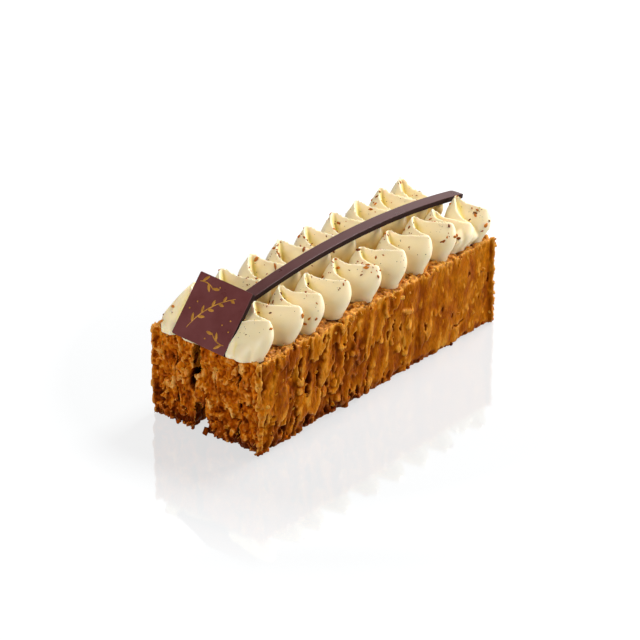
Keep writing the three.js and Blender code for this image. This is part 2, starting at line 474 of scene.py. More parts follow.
def makeSpeckMaterial(finish):
    material, tree, shader = newMaterial("vanillaSpeck", {"Roughness": 0.5})
    patches, grain = addMottle(tree, *finish["mottle"])
    tree.links.new(addRamp(tree, patches, finish["colours"]), shader.inputs["Base Color"])
    addBump(tree, shader, grain, *finish["bump"])
    return material


goldFinish = {
    "colours": [(0.35, (0.380, 0.150, 0.010)), (0.65, (0.640, 0.290, 0.035))],    # deep and bright
    "mottle": (300.0, 2500.0), "rough": (0.2, 0.32), "bump": (0.1, 0.0001),
}


def makeGoldMaterial(finish):
    material, tree, shader = newMaterial("goldPrint", {"Roughness": 0.4, "Metallic": 0.25})
    patches, grain = addMottle(tree, *finish["mottle"])
    tree.links.new(addRamp(tree, patches, finish["colours"]), shader.inputs["Base Color"])
    addRoughness(tree, shader, grain, *finish["rough"])
    addBump(tree, shader, grain, *finish["bump"])
    return material


pastryMaterial = makePastryMaterial(pastryFinish)
creamMaterial = makeCreamMaterial(creamFinish)
chocolateMaterial = makeChocolateMaterial(chocolateFinish)
crumbMaterial = makeCrumbMaterial(crumbFinish)
speckMaterial = makeSpeckMaterial(speckFinish)
goldMaterial = makeGoldMaterial(goldFinish)
print("materials made")


# Pastry slabs: a relief map for each of the six faces

slabLook = {
    "step": 0.38, "margin": 2.0, "reliefRounds": 6, "hollowRounds": 45, "flushShare": 82, "proud": 0.85,
    "proudest": 1.15, "edgeCalm": 2.2, "edgeKeep": 0.7, "mostTriangles": 185000,
    "underRaise": 0.6, "underReach": 3.5, "underSize": 3.2, "underMore": 0.25, "underTint": 0.2,
    "tornByAxis": (1.0, 0.0, 0.25), "flakedByAxis": (0.0, 0.0, 0.45),    # ends, long sides, top
    "burntHeight": 3.0, "burntMore": 3.0, "burntFrom": 20.0, "burntOver": 60.0, "burntWander": 1.5,
    # the crack settings paint shade inside the carved pockets and cracks
    "burntSize": 4.0, "holeShadeStrength": 2.0, "crackFrom": 0.3, "crackOver": 1.2,
}
cornerLook = {    # the upright corners: a thin torn fin that wanders in and out
    "finInset": 0.5, "finHalf": 0.6, "finRise": 1.5, "finUneven": 0.7, "finSize": 2.2,
    "waveSizes": (3.4, 1.5), "waveShares": (1.0, 0.5), "waveReach": 2.5, "lipReach": 1.36, "lipSoft": 0.8,
    "wave": (0.3, 0.8),    # far and near
}
sideLook = {
    "calmFrom": -40.0, "calmOver": 80.0, "rightCalm": 0.5, "leftTilt": 0.30, "rightTilt": 0.04, "bend": 1.2,
    "bendSize": 7.0, "broad": 0.35, "broadSize": (22.0, 26.0), "tint": 0.42, "tintRight": 0.14,
    "stains": [(0.3, 4.5, 8.0), (0.14, 2.4, 5.0)],    # strength, width and height
    "folds": [    # depth, width and height
        (0.8, 5.2, 16.0), (0.22, 2.2, 6.0), (0.16, 1.0, 1.4), (0.08, 0.75, 0.9),
    ],
    # slitShade paints shade into the slits
    "slitWander": 0.7, "slitWanderSize": 2.0, "slitShade": 0.5, "ledgeSoft": 0.3,
    "crackDepth": 1.6, "crackSize": (2.4, 7.0), "crackFrom": 0.55, "crackFromRight": 0.15, "crackSoft": 0.12,
    "footHeight": 6.5, "footLower": 4.5, "footWander": 1.5, "footWanderSize": 3.0, "footDepth": 0.7,
    "footRough": 0.8, "footRoughSize": 1.8, "footShade": 0.1,
}
sidePetals = [    # hanging leaves, knobs and flecks; "many" is per square millimetre, left and right
    {"many": (0.024, 0.0), "band": (0, 34), "halfWide": (1.8, 4.8), "halfTall": (3.5, 9.0),
     "rise": (0.6, 2.2), "dish": (0.3, 1.0), "tip": 0.5, "pale": 0.0},
    {"many": (0.045, 0.003), "band": (5, 21), "halfWide": (0.7, 1.6), "halfTall": (0.9, 2.2),
     "rise": (0.8, 2.0), "dish": (0.0, 0.2), "tip": 0.1, "pale": 0.12},
    {"many": (0.040, 0.060), "band": (3, 32), "halfWide": (0.3, 0.6), "halfTall": (0.7, 2.0),
     "rise": (0.2, 0.45), "dish": (0.0, 0.3), "tip": 0.2, "pale": 0.3},
]
petalShape = {
    "tiltSpread": 0.28, "shadeSpread": 0.25, "ragged": 0.42, "tearSize": (1.2, 2.0), "reach": 1.4,
    "longest": 1.2, "bluntAcross": 2.2, "bluntAlong": 2.6, "hangFrom": 0.9, "hangOver": 1.7,
    "hangCurve": 0.7, "round": 0.55, "rimSoft": 0.15, "spoonFloor": 0.3, "spoonTip": 0.6, "spoonMost": 1.1,
    "lipFrom": 0.25, "lipSoft": 0.3,
}
sideSlits = [    # place along and up, half length, half width, lean in degrees and depth; the last stands out
    (6.8, 19.5, 2.2, 0.45, 2, 2.2), (22.9, 12.5, 2.0, 0.45, 4, 2.0), (41.0, 6.4, 4.6, 0.45, 81, 1.8),
    (-13.3, 23.4, 1.4, 0.7, 10, 1.6), (-19.6, 23.0, 0.9, 0.6, 0, 1.4), (-44.3, 22.4, 1.6, 1.1, 20, 2.2),
    (-37.4, 13.9, 2.6, 0.9, 8, 2.4), (-27.5, 12.7, 1.5, 1.0, 0, 2.4), (-16.6, 4.9, 1.8, 0.9, 5, 2.2),
    (-26.9, 2.5, 1.8, 1.2, 0, 2.2), (-57.4, 11.8, 1.1, 1.0, 0, 1.8), (-49.7, 5.2, 1.8, 2.4, 0, 2.0),
    (46.4, 22.8, 1.0, 0.9, 0, 0.9), (13.8, 22.1, 4.2, 1.2, 108, -0.6),
]
slitSharpness = 1.6
tornLook = {    # what the torn ends and the flaked top have in common
    "tint": 0.5, "stains": [(0.4, 3.4, 5.0), (0.3, 1.2, 1.4)], "darkBy": 0.34, "sheetTint": 0.1,
    "sheetKeep": 0.5, "sheetShade": 0.55, "bareTint": 0.3, "bend": 0.8, "bendSize": 4.0,
    "broadSize": (5.0, 6.0),
    "crumbs": [(1.9, 0.8), (0.95, 0.9), (0.7, 0.6)],    # size and share
    "pitSize": (2.1, 3.4), "pitSoft": 0.2, "sheetReach": 1.4, "sheetBlunt": 2.4, "curlSoft": 0.35,
    "rimSoft": 0.3,
}
endSheets = {
    "perArea": 0.07, "halfWide": (0.6, 1.8), "halfTall": (0.6, 2.6), "tiltSpread": 0.4, "rise": 1.2,
    "slope": 0.35, "hollow": 0.3, "curl": 0.15, "ragged": 0.8, "tearSize": (0.9, 1.0), "broadDepth": 1.0,
    "leafDepth": 0.5, "leafSize": (2.2, 7.0), "crumbDepth": 0.42, "pitDepth": 2.2, "pitFrom": 0.54,
    "darkBelow": 19.0, "pale": 0.0,
}
topSheets = {
    "perArea": 0.20, "halfWide": (0.7, 2.2), "halfTall": (0.5, 1.4), "tiltSpread": 0.5, "rise": 0.8,
    "slope": 0.25, "hollow": 0.3, "curl": 0.2, "ragged": 0.7, "tearSize": (0.9, 0.9), "broadDepth": 0.5,
    "leafDepth": 0.5, "leafSize": (8.0, 1.3), "crumbDepth": 0.3, "pitDepth": 1.0, "pitFrom": 0.42,
    "darkBelow": 0.0, "pale": -0.05,
}


def windowRound(u, v, middle, reach):    # the part of a map near a spot
    return tuple(slice(*np.searchsorted(line, (spot - reach, spot + reach)))
                 for line, spot in zip((u[:, 0], v[0]), middle))


def turnedOff(u, v, angle, halfU, halfV):    # across and along a leaf, 1 at its rim
    across = (math.cos(angle) * u - math.sin(angle) * v) / halfU
    return across, (math.sin(angle) * u + math.cos(angle) * v) / halfV


def sheetMap(seed, u, v, look):    # height, tint and rim of the topmost torn sheet
    rng = np.random.default_rng(seed)
    u, v = np.broadcast_arrays(u, v)
    torn = smoothNoise(seed, u / look["tearSize"][0], v / look["tearSize"][1])
    height, tint, rim = np.zeros(u.shape), np.full(u.shape, tornLook["bareTint"]), np.zeros(u.shape)
    low, high = (u.min(), v.min()), (u.max(), v.max())
    for _ in range(int((high[0] - low[0]) * (high[1] - low[1]) * look["perArea"])):
        middle = rng.uniform(low, high)
        halfU, halfV = rng.uniform(*look["halfWide"]), rng.uniform(*look["halfTall"])
        angle = rng.normal(0, look["tiltSpread"])
        level, shade, bow = rng.uniform(0, look["rise"]), rng.uniform(), rng.uniform(-0.3, 1) * look["hollow"]
        slopeU, slopeV = rng.normal(0, (look["slope"], look["slope"] / 2))
        window = windowRound(u, v, middle, tornLook["sheetReach"] * max(halfU, halfV))
        offU, offV = u[window] - middle[0], v[window] - middle[1]
        across, along = turnedOff(offU, offV, angle, halfU, halfV)
        within = 1 - np.abs(across) ** tornLook["sheetBlunt"] - np.abs(along) ** tornLook["sheetBlunt"]
        within = within + look["ragged"] * torn[window]
        sheet = level + slopeU * offU + slopeV * offV + bow * across ** 2
        sheet += look["curl"] * smoothStep(1 - within / tornLook["curlSoft"])
        shown = (within > 0) & (sheet > height[window])
        height[window] = np.where(shown, sheet, height[window])
        tint[window] = np.where(shown, shade, tint[window])
        rim[window] = np.where(shown, smoothStep(1 - within / tornLook["rimSoft"]), rim[window])
    return height, tint, rim


def sunkBy(height, toEdge):    # depth below the slab's face: most lies just under it, a little stands proud
    look = slabLook
    depth = np.percentile(height, look["flushShare"]) - height
    depth = np.where(depth < 0, look["proud"] * np.tanh(depth / look["proud"]), depth)
    return depth * (look["edgeKeep"] + (1 - look["edgeKeep"]) * smoothStep(toEdge / look["edgeCalm"]))


def petalMap(seed, u, v, layer, lean, share):    # height, tint and lip of the topmost petal
    rng, look = np.random.default_rng(seed), petalShape
    u, v = np.broadcast_arrays(u, v)
    torn = smoothNoise(seed, u / look["tearSize"][0], v / look["tearSize"][1])
    height, tint, lip = np.zeros(u.shape), np.zeros(u.shape), np.zeros(u.shape)
    (left, right), band = layer["many"], layer["band"]
    for _ in range(int((u.max() - u.min()) * (band[1] - band[0]) * max(left, right))):
        middle = rng.uniform(u.min(), u.max()), rng.uniform(*band)
        halfU, halfV = rng.uniform(*layer["halfWide"]), rng.uniform(*layer["halfTall"])
        rise, dish = rng.uniform(*layer["rise"]), rng.uniform(*layer["dish"])
        shade = rng.uniform(-look["shadeSpread"], look["shadeSpread"])
        chance, spin = rng.uniform(), rng.normal(0, look["tiltSpread"])
        if chance * max(left, right) > left + (right - left) * np.interp(middle[0], u[:, 0], share[:, 0]):
            continue
        angle = np.interp(middle[0], u[:, 0], lean[:, 0]) + spin
        window = windowRound(u, v, middle, look["reach"] * max(halfU, halfV))
        across, along = turnedOff(u[window] - middle[0], v[window] - middle[1], angle, halfU, halfV)
        across = across / (1 - layer["tip"] * np.clip(-along, 0, look["longest"]))    # narrower below
        within = 1 - np.abs(across) ** look["bluntAcross"] - np.abs(along) ** look["bluntAlong"]
        within = within + look["ragged"] * torn[window]
        hang = np.clip((look["hangFrom"] - along) / look["hangOver"], 0, 1)
        full = 1 - np.clip(1 - within / look["round"], 0, 1) ** 2
        spoon = np.clip(across ** 2 + look["spoonTip"] * np.clip(-along, 0, 1) ** 3, 0, look["spoonMost"])
        spoon = smoothStep(within / look["rimSoft"]) * (look["spoonFloor"] + (1 - look["spoonFloor"]) * spoon)
        petal = rise * hang ** look["hangCurve"] * (full + dish * (spoon - full))
        shown = (within > 0) & (petal > height[window])
        height[window] = np.where(shown, petal, height[window])
        tint[window] = np.where(shown, shade + layer["pale"], tint[window])
        edge = smoothStep(1 - within / look["lipSoft"])
        edge = edge * smoothStep((hang - look["lipFrom"]) / look["lipSoft"])
        lip[window] = np.where(shown, edge, lip[window])
    return height, tint, lip


def slitMap(x, z):    # depth of the dark slits, below zero where a ledge stands out
    total = np.zeros(np.broadcast(x, z).shape)
    for spotX, spotZ, halfLong, halfWide, lean, depth in sideSlits:
        across, along = turnedOff(x - spotX, z - spotZ, math.radians(lean), halfWide, halfLong)
        total += depth * smoothStep(slitSharpness * (1 - np.hypot(along, across)))
    return total


def cornerFin(seed, toCorner, z):
    look = cornerLook
    rise = look["finRise"] + look["finUneven"] * lineNoise(seed, z / look["finSize"])
    return np.exp(-((toCorner - look["finInset"]) / look["finHalf"]) ** 2) * rise


def wavyCorner(seed, depth, toCorner, z, amount):
    look = cornerLook
    wave = sum(share * lineNoise(seed + k, z / size)
               for k, (size, share) in enumerate(zip(look["waveSizes"], look["waveShares"])))
    waved = depth + amount * wave * (1 - smoothStep(toCorner / look["waveReach"]))
    return np.maximum(waved, -slabLook["proudest"])


def cornerLip(toCorner):    # the pale edge of a corner
    return smoothStep((cornerLook["lipReach"] - toCorner) / cornerLook["lipSoft"])


def sideCracks(seed, x, z, bent, share, mirror):    # the placed slits and some more
    look = sideLook
    size = look["slitWanderSize"]
    wanderX, wanderZ = [look["slitWander"] * smoothNoise(seed + k, x / size, z / size) for k in (9, 13)]
    crack = smoothNoise(seed + 5, bent / look["crackSize"][0], z / look["crackSize"][1])
    crack = crack - look["crackFrom"] - look["crackFromRight"] * share
    placed = slitMap(mirror * x + wanderX, z + wanderZ)
    return placed + look["crackDepth"] * smoothStep(crack / look["crackSoft"])


def sideFoot(seed, x, z, share):    # the crumbled lower edge: its share and its depth
    look = sideLook
    size, fine = look["footWanderSize"], look["footRoughSize"]
    ragged = z + look["footWander"] * smoothNoise(seed + 10, x / size, z / size)
    foot = smoothStep(1 - ragged / (look["footHeight"] - look["footLower"] * share))
    return foot, foot * (look["footDepth"] + look["footRough"] * smoothNoise(seed + 11, x / fine, z / fine))


def bakedSide(seed, x, z, low, high, mirror):    # a long side: its depth, tint and lips
    look = sideLook
    share = smoothStep((x - look["calmFrom"]) / look["calmOver"])
    lean = look["leftTilt"] + (look["rightTilt"] - look["leftTilt"]) * share
    bent = x - lean * z + look["bend"] * smoothNoise(seed + 6, x / look["bendSize"], z / look["bendSize"])
    tint = look["tint"] + look["tintRight"] * share
    for k, (strength, wide, tall) in enumerate(look["stains"]):
        tint = tint + strength * smoothNoise(seed + 7 + k, bent / wide, z / tall)
    height, lip = np.zeros(bent.shape), np.zeros(bent.shape)
    for k, layer in enumerate(sidePetals):
        rise, shade, rim = petalMap(seed + 20 * k, x, z, layer, lean, share)
        tint += np.where(rise > height, shade, 0)
        lip = np.where(rise > height, rim, lip)
        height = np.maximum(height, rise)
    for k, (depth, wide, tall) in enumerate(look["folds"]):
        height += depth * smoothNoise(seed + 50 + k, bent / wide, z / tall)
    height *= 1 - (1 - look["rightCalm"]) * share
    height += look["broad"] * smoothNoise(seed + 3, x / look["broadSize"][0], z / look["broadSize"][1])
    slits = sideCracks(seed, x, z, bent, share, mirror)
    foot, footDepth = sideFoot(seed, x, z, share)
    height -= slits + footDepth
    toEnd = np.minimum(x - low[0], high[0] - x)
    height += cornerFin(seed + 14, toEnd, z)
    toEdge = np.minimum(toEnd, high[2] - z)
    lip = np.maximum(np.maximum(lip, cornerLip(toEdge)), smoothStep(-slits / look["ledgeSoft"]))
    depth = wavyCorner(seed + 12, sunkBy(height, toEdge), toEnd, z, cornerLook["wave"][int(mirror > 0)])
    # painted shade: the tint is darker in the slits; it is darker along the foot too
    return depth, tint - look["slitShade"] * np.clip(slits, 0, 1) - look["footShade"] * foot, lip


def brokenFace(seed, u, v, look, toEdge):    # a torn end or the flaked top: its depth, tint and rims
    height, shade, rim = sheetMap(seed, u, v, look)
    tint = tornLook["tint"]
    for k, (strength, wide, tall) in enumerate(tornLook["stains"]):
        tint = tint + strength * smoothNoise(seed + 8 + k, u / wide, v / tall)
    if look["darkBelow"]:
        tint -= tornLook["darkBy"] * smoothStep(1 - v / look["darkBelow"])
    sheetTint = tornLook["sheetKeep"] * tint + tornLook["sheetTint"] + tornLook["sheetShade"] * shade
    tint = np.where(height > 0, sheetTint, tint) + look["pale"]
    bendSize = tornLook["bendSize"]
    bentU, bentV = [c + tornLook["bend"] * smoothNoise(seed + 5 + k, u / bendSize, v / bendSize)
                    for k, c in enumerate((u, v))]
    leaf = 1 - 2 * np.abs(smoothNoise(seed + 1, bentU / look["leafSize"][0], bentV / look["leafSize"][1]))
    broad = smoothNoise(seed + 4, u / tornLook["broadSize"][0], v / tornLook["broadSize"][1])
    height = height + look["leafDepth"] * leaf + look["broadDepth"] * broad
    for size, share in tornLook["crumbs"]:
        height += share * look["crumbDepth"] * smoothNoise(seed + int(20 * size), u / size, v / size)
    pit = smoothNoise(seed + 3, u / tornLook["pitSize"][0], v / tornLook["pitSize"][1]) - look["pitFrom"]
    height -= look["pitDepth"] * smoothStep(pit / tornLook["pitSoft"])
    return sunkBy(height, toEdge), np.clip(tint, 0, 1), rim


def slabEnd(seed, y, z, fromCorner, toOuter, outerSide):    # a torn end with its outer corner
    depth, tint, rim = brokenFace(seed, y, z, endSheets, fromCorner)
    depth = wavyCorner(seed + 12, depth, toOuter, z, cornerLook["wave"][int(outerSide < 0)])
    depth = np.maximum(depth - cornerFin(seed + 16, toOuter, z), -slabLook["proudest"])
    return depth, tint, np.maximum(rim, cornerLip(toOuter))


def slabFaces(node, seed, outerSide):    # each face: its axis, direction, place and maps
    low, high = nodeBox(node)
    look = slabLook
    axes = [np.arange(low[k] - look["margin"], high[k] + look["margin"], look["step"]) for k in range(3)]
    x, y, z = axes
    xy, yz, xz = (x[:, None], y[None]), (y[:, None], z[None]), (x[:, None], z[None])
    inset = np.minimum(*[np.minimum(p - low[k], high[k] - p) for k, p in enumerate(xy)])
    size = look["underSize"]
    ragged = np.clip(smoothNoise(seed + 400, xy[0] / size, xy[1] / size) + look["underMore"], 0, 1)
    under = look["underRaise"] * np.clip(1 - inset / look["underReach"], 0, 1) * ragged
    fromCorner = np.minimum(np.minimum(yz[0] - low[1], high[1] - yz[0]), high[2] - yz[1])
    toOuter = yz[0] - low[1] if outerSide < 0 else high[1] - yz[0]
    sides = {
        outerSide: bakedSide(seed, *xz, low, high, -outerSide),
        -outerSide: bakedSide(seed + 100, *xz, low, high, outerSide),
    }
    faces = [
        (1, -1, low[1], sides[-1]), (1, 1, high[1], sides[1]),
        (0, -1, low[0], slabEnd(seed + 200, *yz, fromCorner, toOuter, outerSide)),
        (0, 1, high[0], slabEnd(seed + 250, *yz, fromCorner, toOuter, outerSide)),
        (2, 1, high[2], brokenFace(seed + 300, *xy, topSheets, inset)),
        (2, -1, low[2], (under, np.full(under.shape, look["underTint"]), np.zeros(under.shape))),
    ]
    return axes, faces


def slabField(axes, faces, carve):
    field = np.full([len(a) for a in axes], -9.0)
    grid = [a.reshape([-1 if j == k else 1 for j in range(3)]) for k, a in enumerate(axes)]
    for axis, way, spot, (depth, _, _) in faces:
        field = np.maximum(field, way * (grid[axis] - spot) + np.expand_dims(depth, axis))
    for hole in carve:
        field = np.maximum(field, -hole(*grid))
    return field.astype(np.float32)


def slabMasks(verts, axes, faces):    # each point takes the tint of the face that it lies on
    look = slabLook
    cell = [np.clip(np.rint((verts[:, k] - axes[k][0]) / look["step"]), 0, len(axes[k]) - 1).astype(int)
            for k in range(3)]
    best = np.full(len(verts), -99.0)
    masks = {mask: np.zeros(len(verts)) for mask in ("tint", "rim", "crumb", "flaked")}
    for axis, way, spot, maps in faces:
        pick = tuple(cell[k] for k in range(3) if k != axis)
        reach = way * (verts[:, axis] - spot) + maps[0][pick]
        closer = reach > best
        best = np.where(closer, reach, best)
        values = (maps[1][pick], maps[2][pick], look["tornByAxis"][axis], look["flakedByAxis"][axis])
        for mask, value in zip(masks, values):
            masks[mask] = np.where(closer, value, masks[mask])
    size = look["burntSize"]
    burnt = smoothStep((look["burntFrom"] - verts[:, 0]) / look["burntOver"])
    burnt = look["burntHeight"] + look["burntMore"] * burnt    # height of the dark lower edge
    ragged = verts[:, 2] + look["burntWander"] * smoothNoise(91, verts[:, 0] / size, verts[:, 1] / size)
    # painted shade: the low mask also rises inside the carved pockets and cracks
    inside = smoothStep((-best - look["crackFrom"]) / look["crackOver"])    # dark inside the cracks
    masks["low"] = np.maximum(smoothStep(1 - ragged / burnt), look["holeShadeStrength"] * inside)
    return masks


def pocket(middle, radii):
    return lambda x, y, z: min(radii) * (np.sqrt(sum(
        ((p - m) / r) ** 2 for p, m, r in zip((x, y, z), middle, radii)
    )) - 1)


creviceLook = {"wander": 1.1, "wanderSize": 7.0, "least": 0.6, "uneven": 0.8, "unevenSize": 5.0, "taper": 4.0}


def crevice(seed, atY, fromX, depth, width, lowZ, highZ):
    def shape(x, y, z):
        look = creviceLook
        wander = atY + look["wander"] * lineNoise(seed, z / look["wanderSize"])
        half = width * (look["least"] + look["uneven"] * np.abs(lineNoise(seed + 1, z / look["unevenSize"])))
        reach = depth * np.clip(np.minimum(z - lowZ, highZ - z) / look["taper"], -1, 1)
        return np.maximum(np.abs(y - wander) - half, np.abs(x - fromX) - reach)
    return shape


def makeSlab(node, seed, outerSide, carve):
    axes, faces = slabFaces(node, seed, outerSide)
    verts, quads = surfaceNets(slabField(axes, faces, carve), axes)
    masks = slabMasks(verts, axes, faces)
    for mask in ("relief", "hollow"):
        masks[mask] = reliefOf(verts, quads, slabLook[mask + "Rounds"])
    piece = makeMesh(node + "_baked", verts, quads, pastryMaterial, masks)
    thinned(piece, slabLook["mostTriangles"])
    place(piece, "pastry", node)
    return verts, quads


nearLow, nearHigh = nodeBox("pastry_slab_near")
farLow, farHigh = nodeBox("pastry_slab_far")
gapPockets = [    # where the slabs part at the plaque end: place across and up, and radii
    pocket((nearLow[0], y, z), radii) for y, z, radii in (
        (4.2, 27.0, (11, 1.2, 4.5)), (4.3, 22.2, (12, 1.7, 2.6)), (6.1, 17.0, (12, 1.5, 4.0)),
        (3.6, 3.0, (6, 3.3, 7.0)),
    )
]
nearCracks = [    # seed, place across, end, depth, half width, and the heights it runs between
    (71, -13.0, nearLow[0], 5.0, 0.45, 2, 30), (74, -4.5, nearLow[0], 3.0, 0.3, 8, 26),
    (77, -12.0, nearHigh[0], 4.0, 0.4, 4, 29), (80, -2.0, nearHigh[0], 3.0, 0.3, 6, 24),
]
farCracks = [(83, 13.0, farLow[0], 3.0, 0.35, 5, 27), (86, 13.5, farHigh[0], 3.5, 0.35, 5, 27)]
nearCarve = gapPockets + [crevice(*crack) for crack in nearCracks]
farCarve = gapPockets[:3] + [crevice(*crack) for crack in farCracks]
nearSkin = makeSlab("pastry_slab_near", 11, -1, nearCarve)
farSkin = makeSlab("pastry_slab_far", 23, 1, farCarve)


# Cream: each row is the path of its ridge, swept with a fat belly and a sharp crest

creamLook = {
    "step": 0.34, "foot": 31.3, "top": 32.3, "dip": 0.7, "bulge": 4.2, "bulgeLevel": 0.36, "footPinch": 0.15,
    "sharpness": 1.5, "noseBlunt": 0.65, "noseSlim": 0.18, "pocketSlim": 0.65, "turnPull": 2.2, "lean": 5.0,
    "peakLean": 0.3, "legPoints": 44, "reach": 61.5, "dipAt": 0.32, "dipHalf": 0.2, "dropFrom": 0.84,
    "wobble": 0.08, "wobbleSize": 7.0, "slimCurve": 1.5, "bluntFrom": 0.7, "sideBlend": 1.6, "crease": 0.02,
    "uneven": 0.10, "unevenSize": 5.0, "pressed": 0.15, "shade": 0.8, "shadeFrom": 8.0, "shadeOver": 5.0,
    "shadeTop": 41.0, "shadeFade": 6.0, "smoothRounds": 2, "reliefRounds": 5, "hollowRounds": 40,
}
nearRow = {    # turns of the ridge: peaks at the inner side, rounded noses at the outer
    "seed": 5, "peakAtOuter": False, "innerY": -5.4, "outerY": -20.2, "innerTurn": 14, "outerTurn": 8,
    "bowOut": 0.6, "bowBack": 2.3, "noseDrop": 0.5,
    "innerX": [-54, -43.2, -31.3, -18.6, -4.4, 8.6, 23.0, 36.4, 47.0, 59.6],
    "outerX": [-51.4, -36.8, -27.0, -13.6, 1.6, 14.6, 28.0, 40.6, 50.2, 58.8],
    "innerHeight": [8.0, 11.3, 12.4, 12.0, 11.7, 11.1, 11.3, 11.8, 10.8, 11.6],
    "outerHeight": [11.2, 10.6, 10.9, 10.6, 10.3, 10.9, 11.1, 11.0, 7.6, 9.8],
    "skirts": [
        ((-50.5, -16.5, 10.5), (-53.0, -15.6, 7.4)), ((-52.4, -9.0, 8.0), (-53.4, -9.0, 2.5)),
        ((47.0, -18.0, 6.0), (54.0, -18.8, 4.0)), ((58.5, -16.5, 8.0), (61.5, -17.4, 4.0)),
    ],
}
farRow = {
    "seed": 9, "peakAtOuter": True, "innerY": -0.4, "outerY": 17.8, "innerTurn": 8, "outerTurn": 40,
    "bowOut": 3.8, "bowBack": 0.6, "noseDrop": 0.0,
    "innerX": [-53, -40.6, -29.0, -14.6, 0.8, 13.6, 27.2, 40, 51, 59],
    "outerX": [-46.2, -33.0, -18.6, -5.0, 8.8, 22.4, 34.4, 47.2, 58.4],
    "innerHeight": [8.0, 9.8, 9.8, 9.8, 9.6, 9.6, 9.6, 9.4, 9.4, 7.0],
    "outerHeight": [12.6, 12.4, 12.2, 12.2, 12.3, 12.2, 12.0, 12.4, 13.0],
    "skirts": [((-46.0, 16.0, 11.0), (-54.2, 17.0, 6.4)), ((-52.0, 4.0, 8.0), (-54.5, 4.0, 2.5))],
}
stripLook = {
    "fromX": -50.0, "toX": 66.0, "crownX": 5.0, "crownZ": 45.9, "radius": 333.0, "width": 4.8,
    "thickness": 1.8, "middleY": -2.0, "steps": 90, "bevel": 0.2,
    "sideToTop": (1.0, 1.0, 0.9, 0.72, 0.62, 0.62), "endInset": 0.6,
}
plaqueLook = {
    "width": 21.7, "height": 21.3, "thickness": 1.8, "foot": (-62.1, 1.2, 32.4), "lean": 38.0, "roll": 4.0,
    "turn": 2.0, "bevel": 0.22, "frontToBack": (0, 0, 0.4, 1, 1, 1, 1, 1),
}
plaqueTurn = np.array(
    Matrix.Rotation(math.radians(plaqueLook["turn"]), 3, "Z")
    @ Matrix.Rotation(math.radians(plaqueLook["lean"]), 3, "Y")
    @ Matrix.Rotation(math.radians(plaqueLook["roll"]), 3, "X")
)


def ridgePath(row, look):    # points along the ridge: x, y, height and share from peak to nose
    turns = [None] * (len(row["innerX"]) + len(row["outerX"]))
    turns[0::2] = [(x, row["innerY"], h) for x, h in zip(row["innerX"], row["innerHeight"])]
    turns[1::2] = [(x, row["outerY"], h) for x, h in zip(row["outerX"], row["outerHeight"])]
    t = np.linspace(0, 1, look["legPoints"], endpoint=False)
    spots, rounds = [], []
    for k, (start, end) in enumerate(zip(turns, turns[1:])):
        outward = k % 2 == 0
        leg = np.array(start) + t[:, None] * np.subtract(end, start)
        leg[:, 0] -= (row["bowOut"] if outward else row["bowBack"]) * 4 * t * (1 - t)
        fromPeak = t if outward != row["peakAtOuter"] else 1 - t
        peak, nose = (start[2], end[2]) if outward != row["peakAtOuter"] else (end[2], start[2])
        leg[:, 2] = nose + (peak - nose) * (1 - fromPeak) ** 2
        leg[:, 2] -= look["dip"] * np.exp(-((fromPeak - look["dipAt"]) / look["dipHalf"]) ** 2)
        leg[:, 2] -= row["noseDrop"] * smoothStep((fromPeak - look["dropFrom"]) / (1 - look["dropFrom"]))
        spots.append(np.column_stack([leg, fromPeak]))
        outerShare = t if outward else 1 - t
        atTurn = np.clip(np.abs(2 * t - 1) * 2.5 - 0.5, 0.1, 1)    # less along the middle of a leg
        rounds.append(np.where(outerShare > 0.5, row["outerTurn"], row["innerTurn"]) * atTurn)
    spots, rounds = np.concatenate(spots), np.concatenate(rounds)
    for k in range(int(rounds.max())):    # rounds off the turns
        mean = (spots[:-2] + spots[1:-1] + spots[2:]) / 3
        spots[1:-1] = np.where((rounds[1:-1] > k)[:, None], mean, spots[1:-1])
    for start, end in row["skirts"]:
        skirt = np.array(start) + np.stack([t, t, t * t], 1) * np.subtract(end, start)
        spots = np.concatenate([spots, np.column_stack([skirt, np.ones(len(t))])])
    return spots


def fullness(level, sharpness, look):
    below = 1 - look["footPinch"] * (1 - level / look["bulgeLevel"]) ** 2
    above = np.clip((level - look["bulgeLevel"]) / (1 - look["bulgeLevel"]), 0, 1)
    return np.where(level < look["bulgeLevel"], below, np.cos(math.pi / 2 * above) ** sharpness)


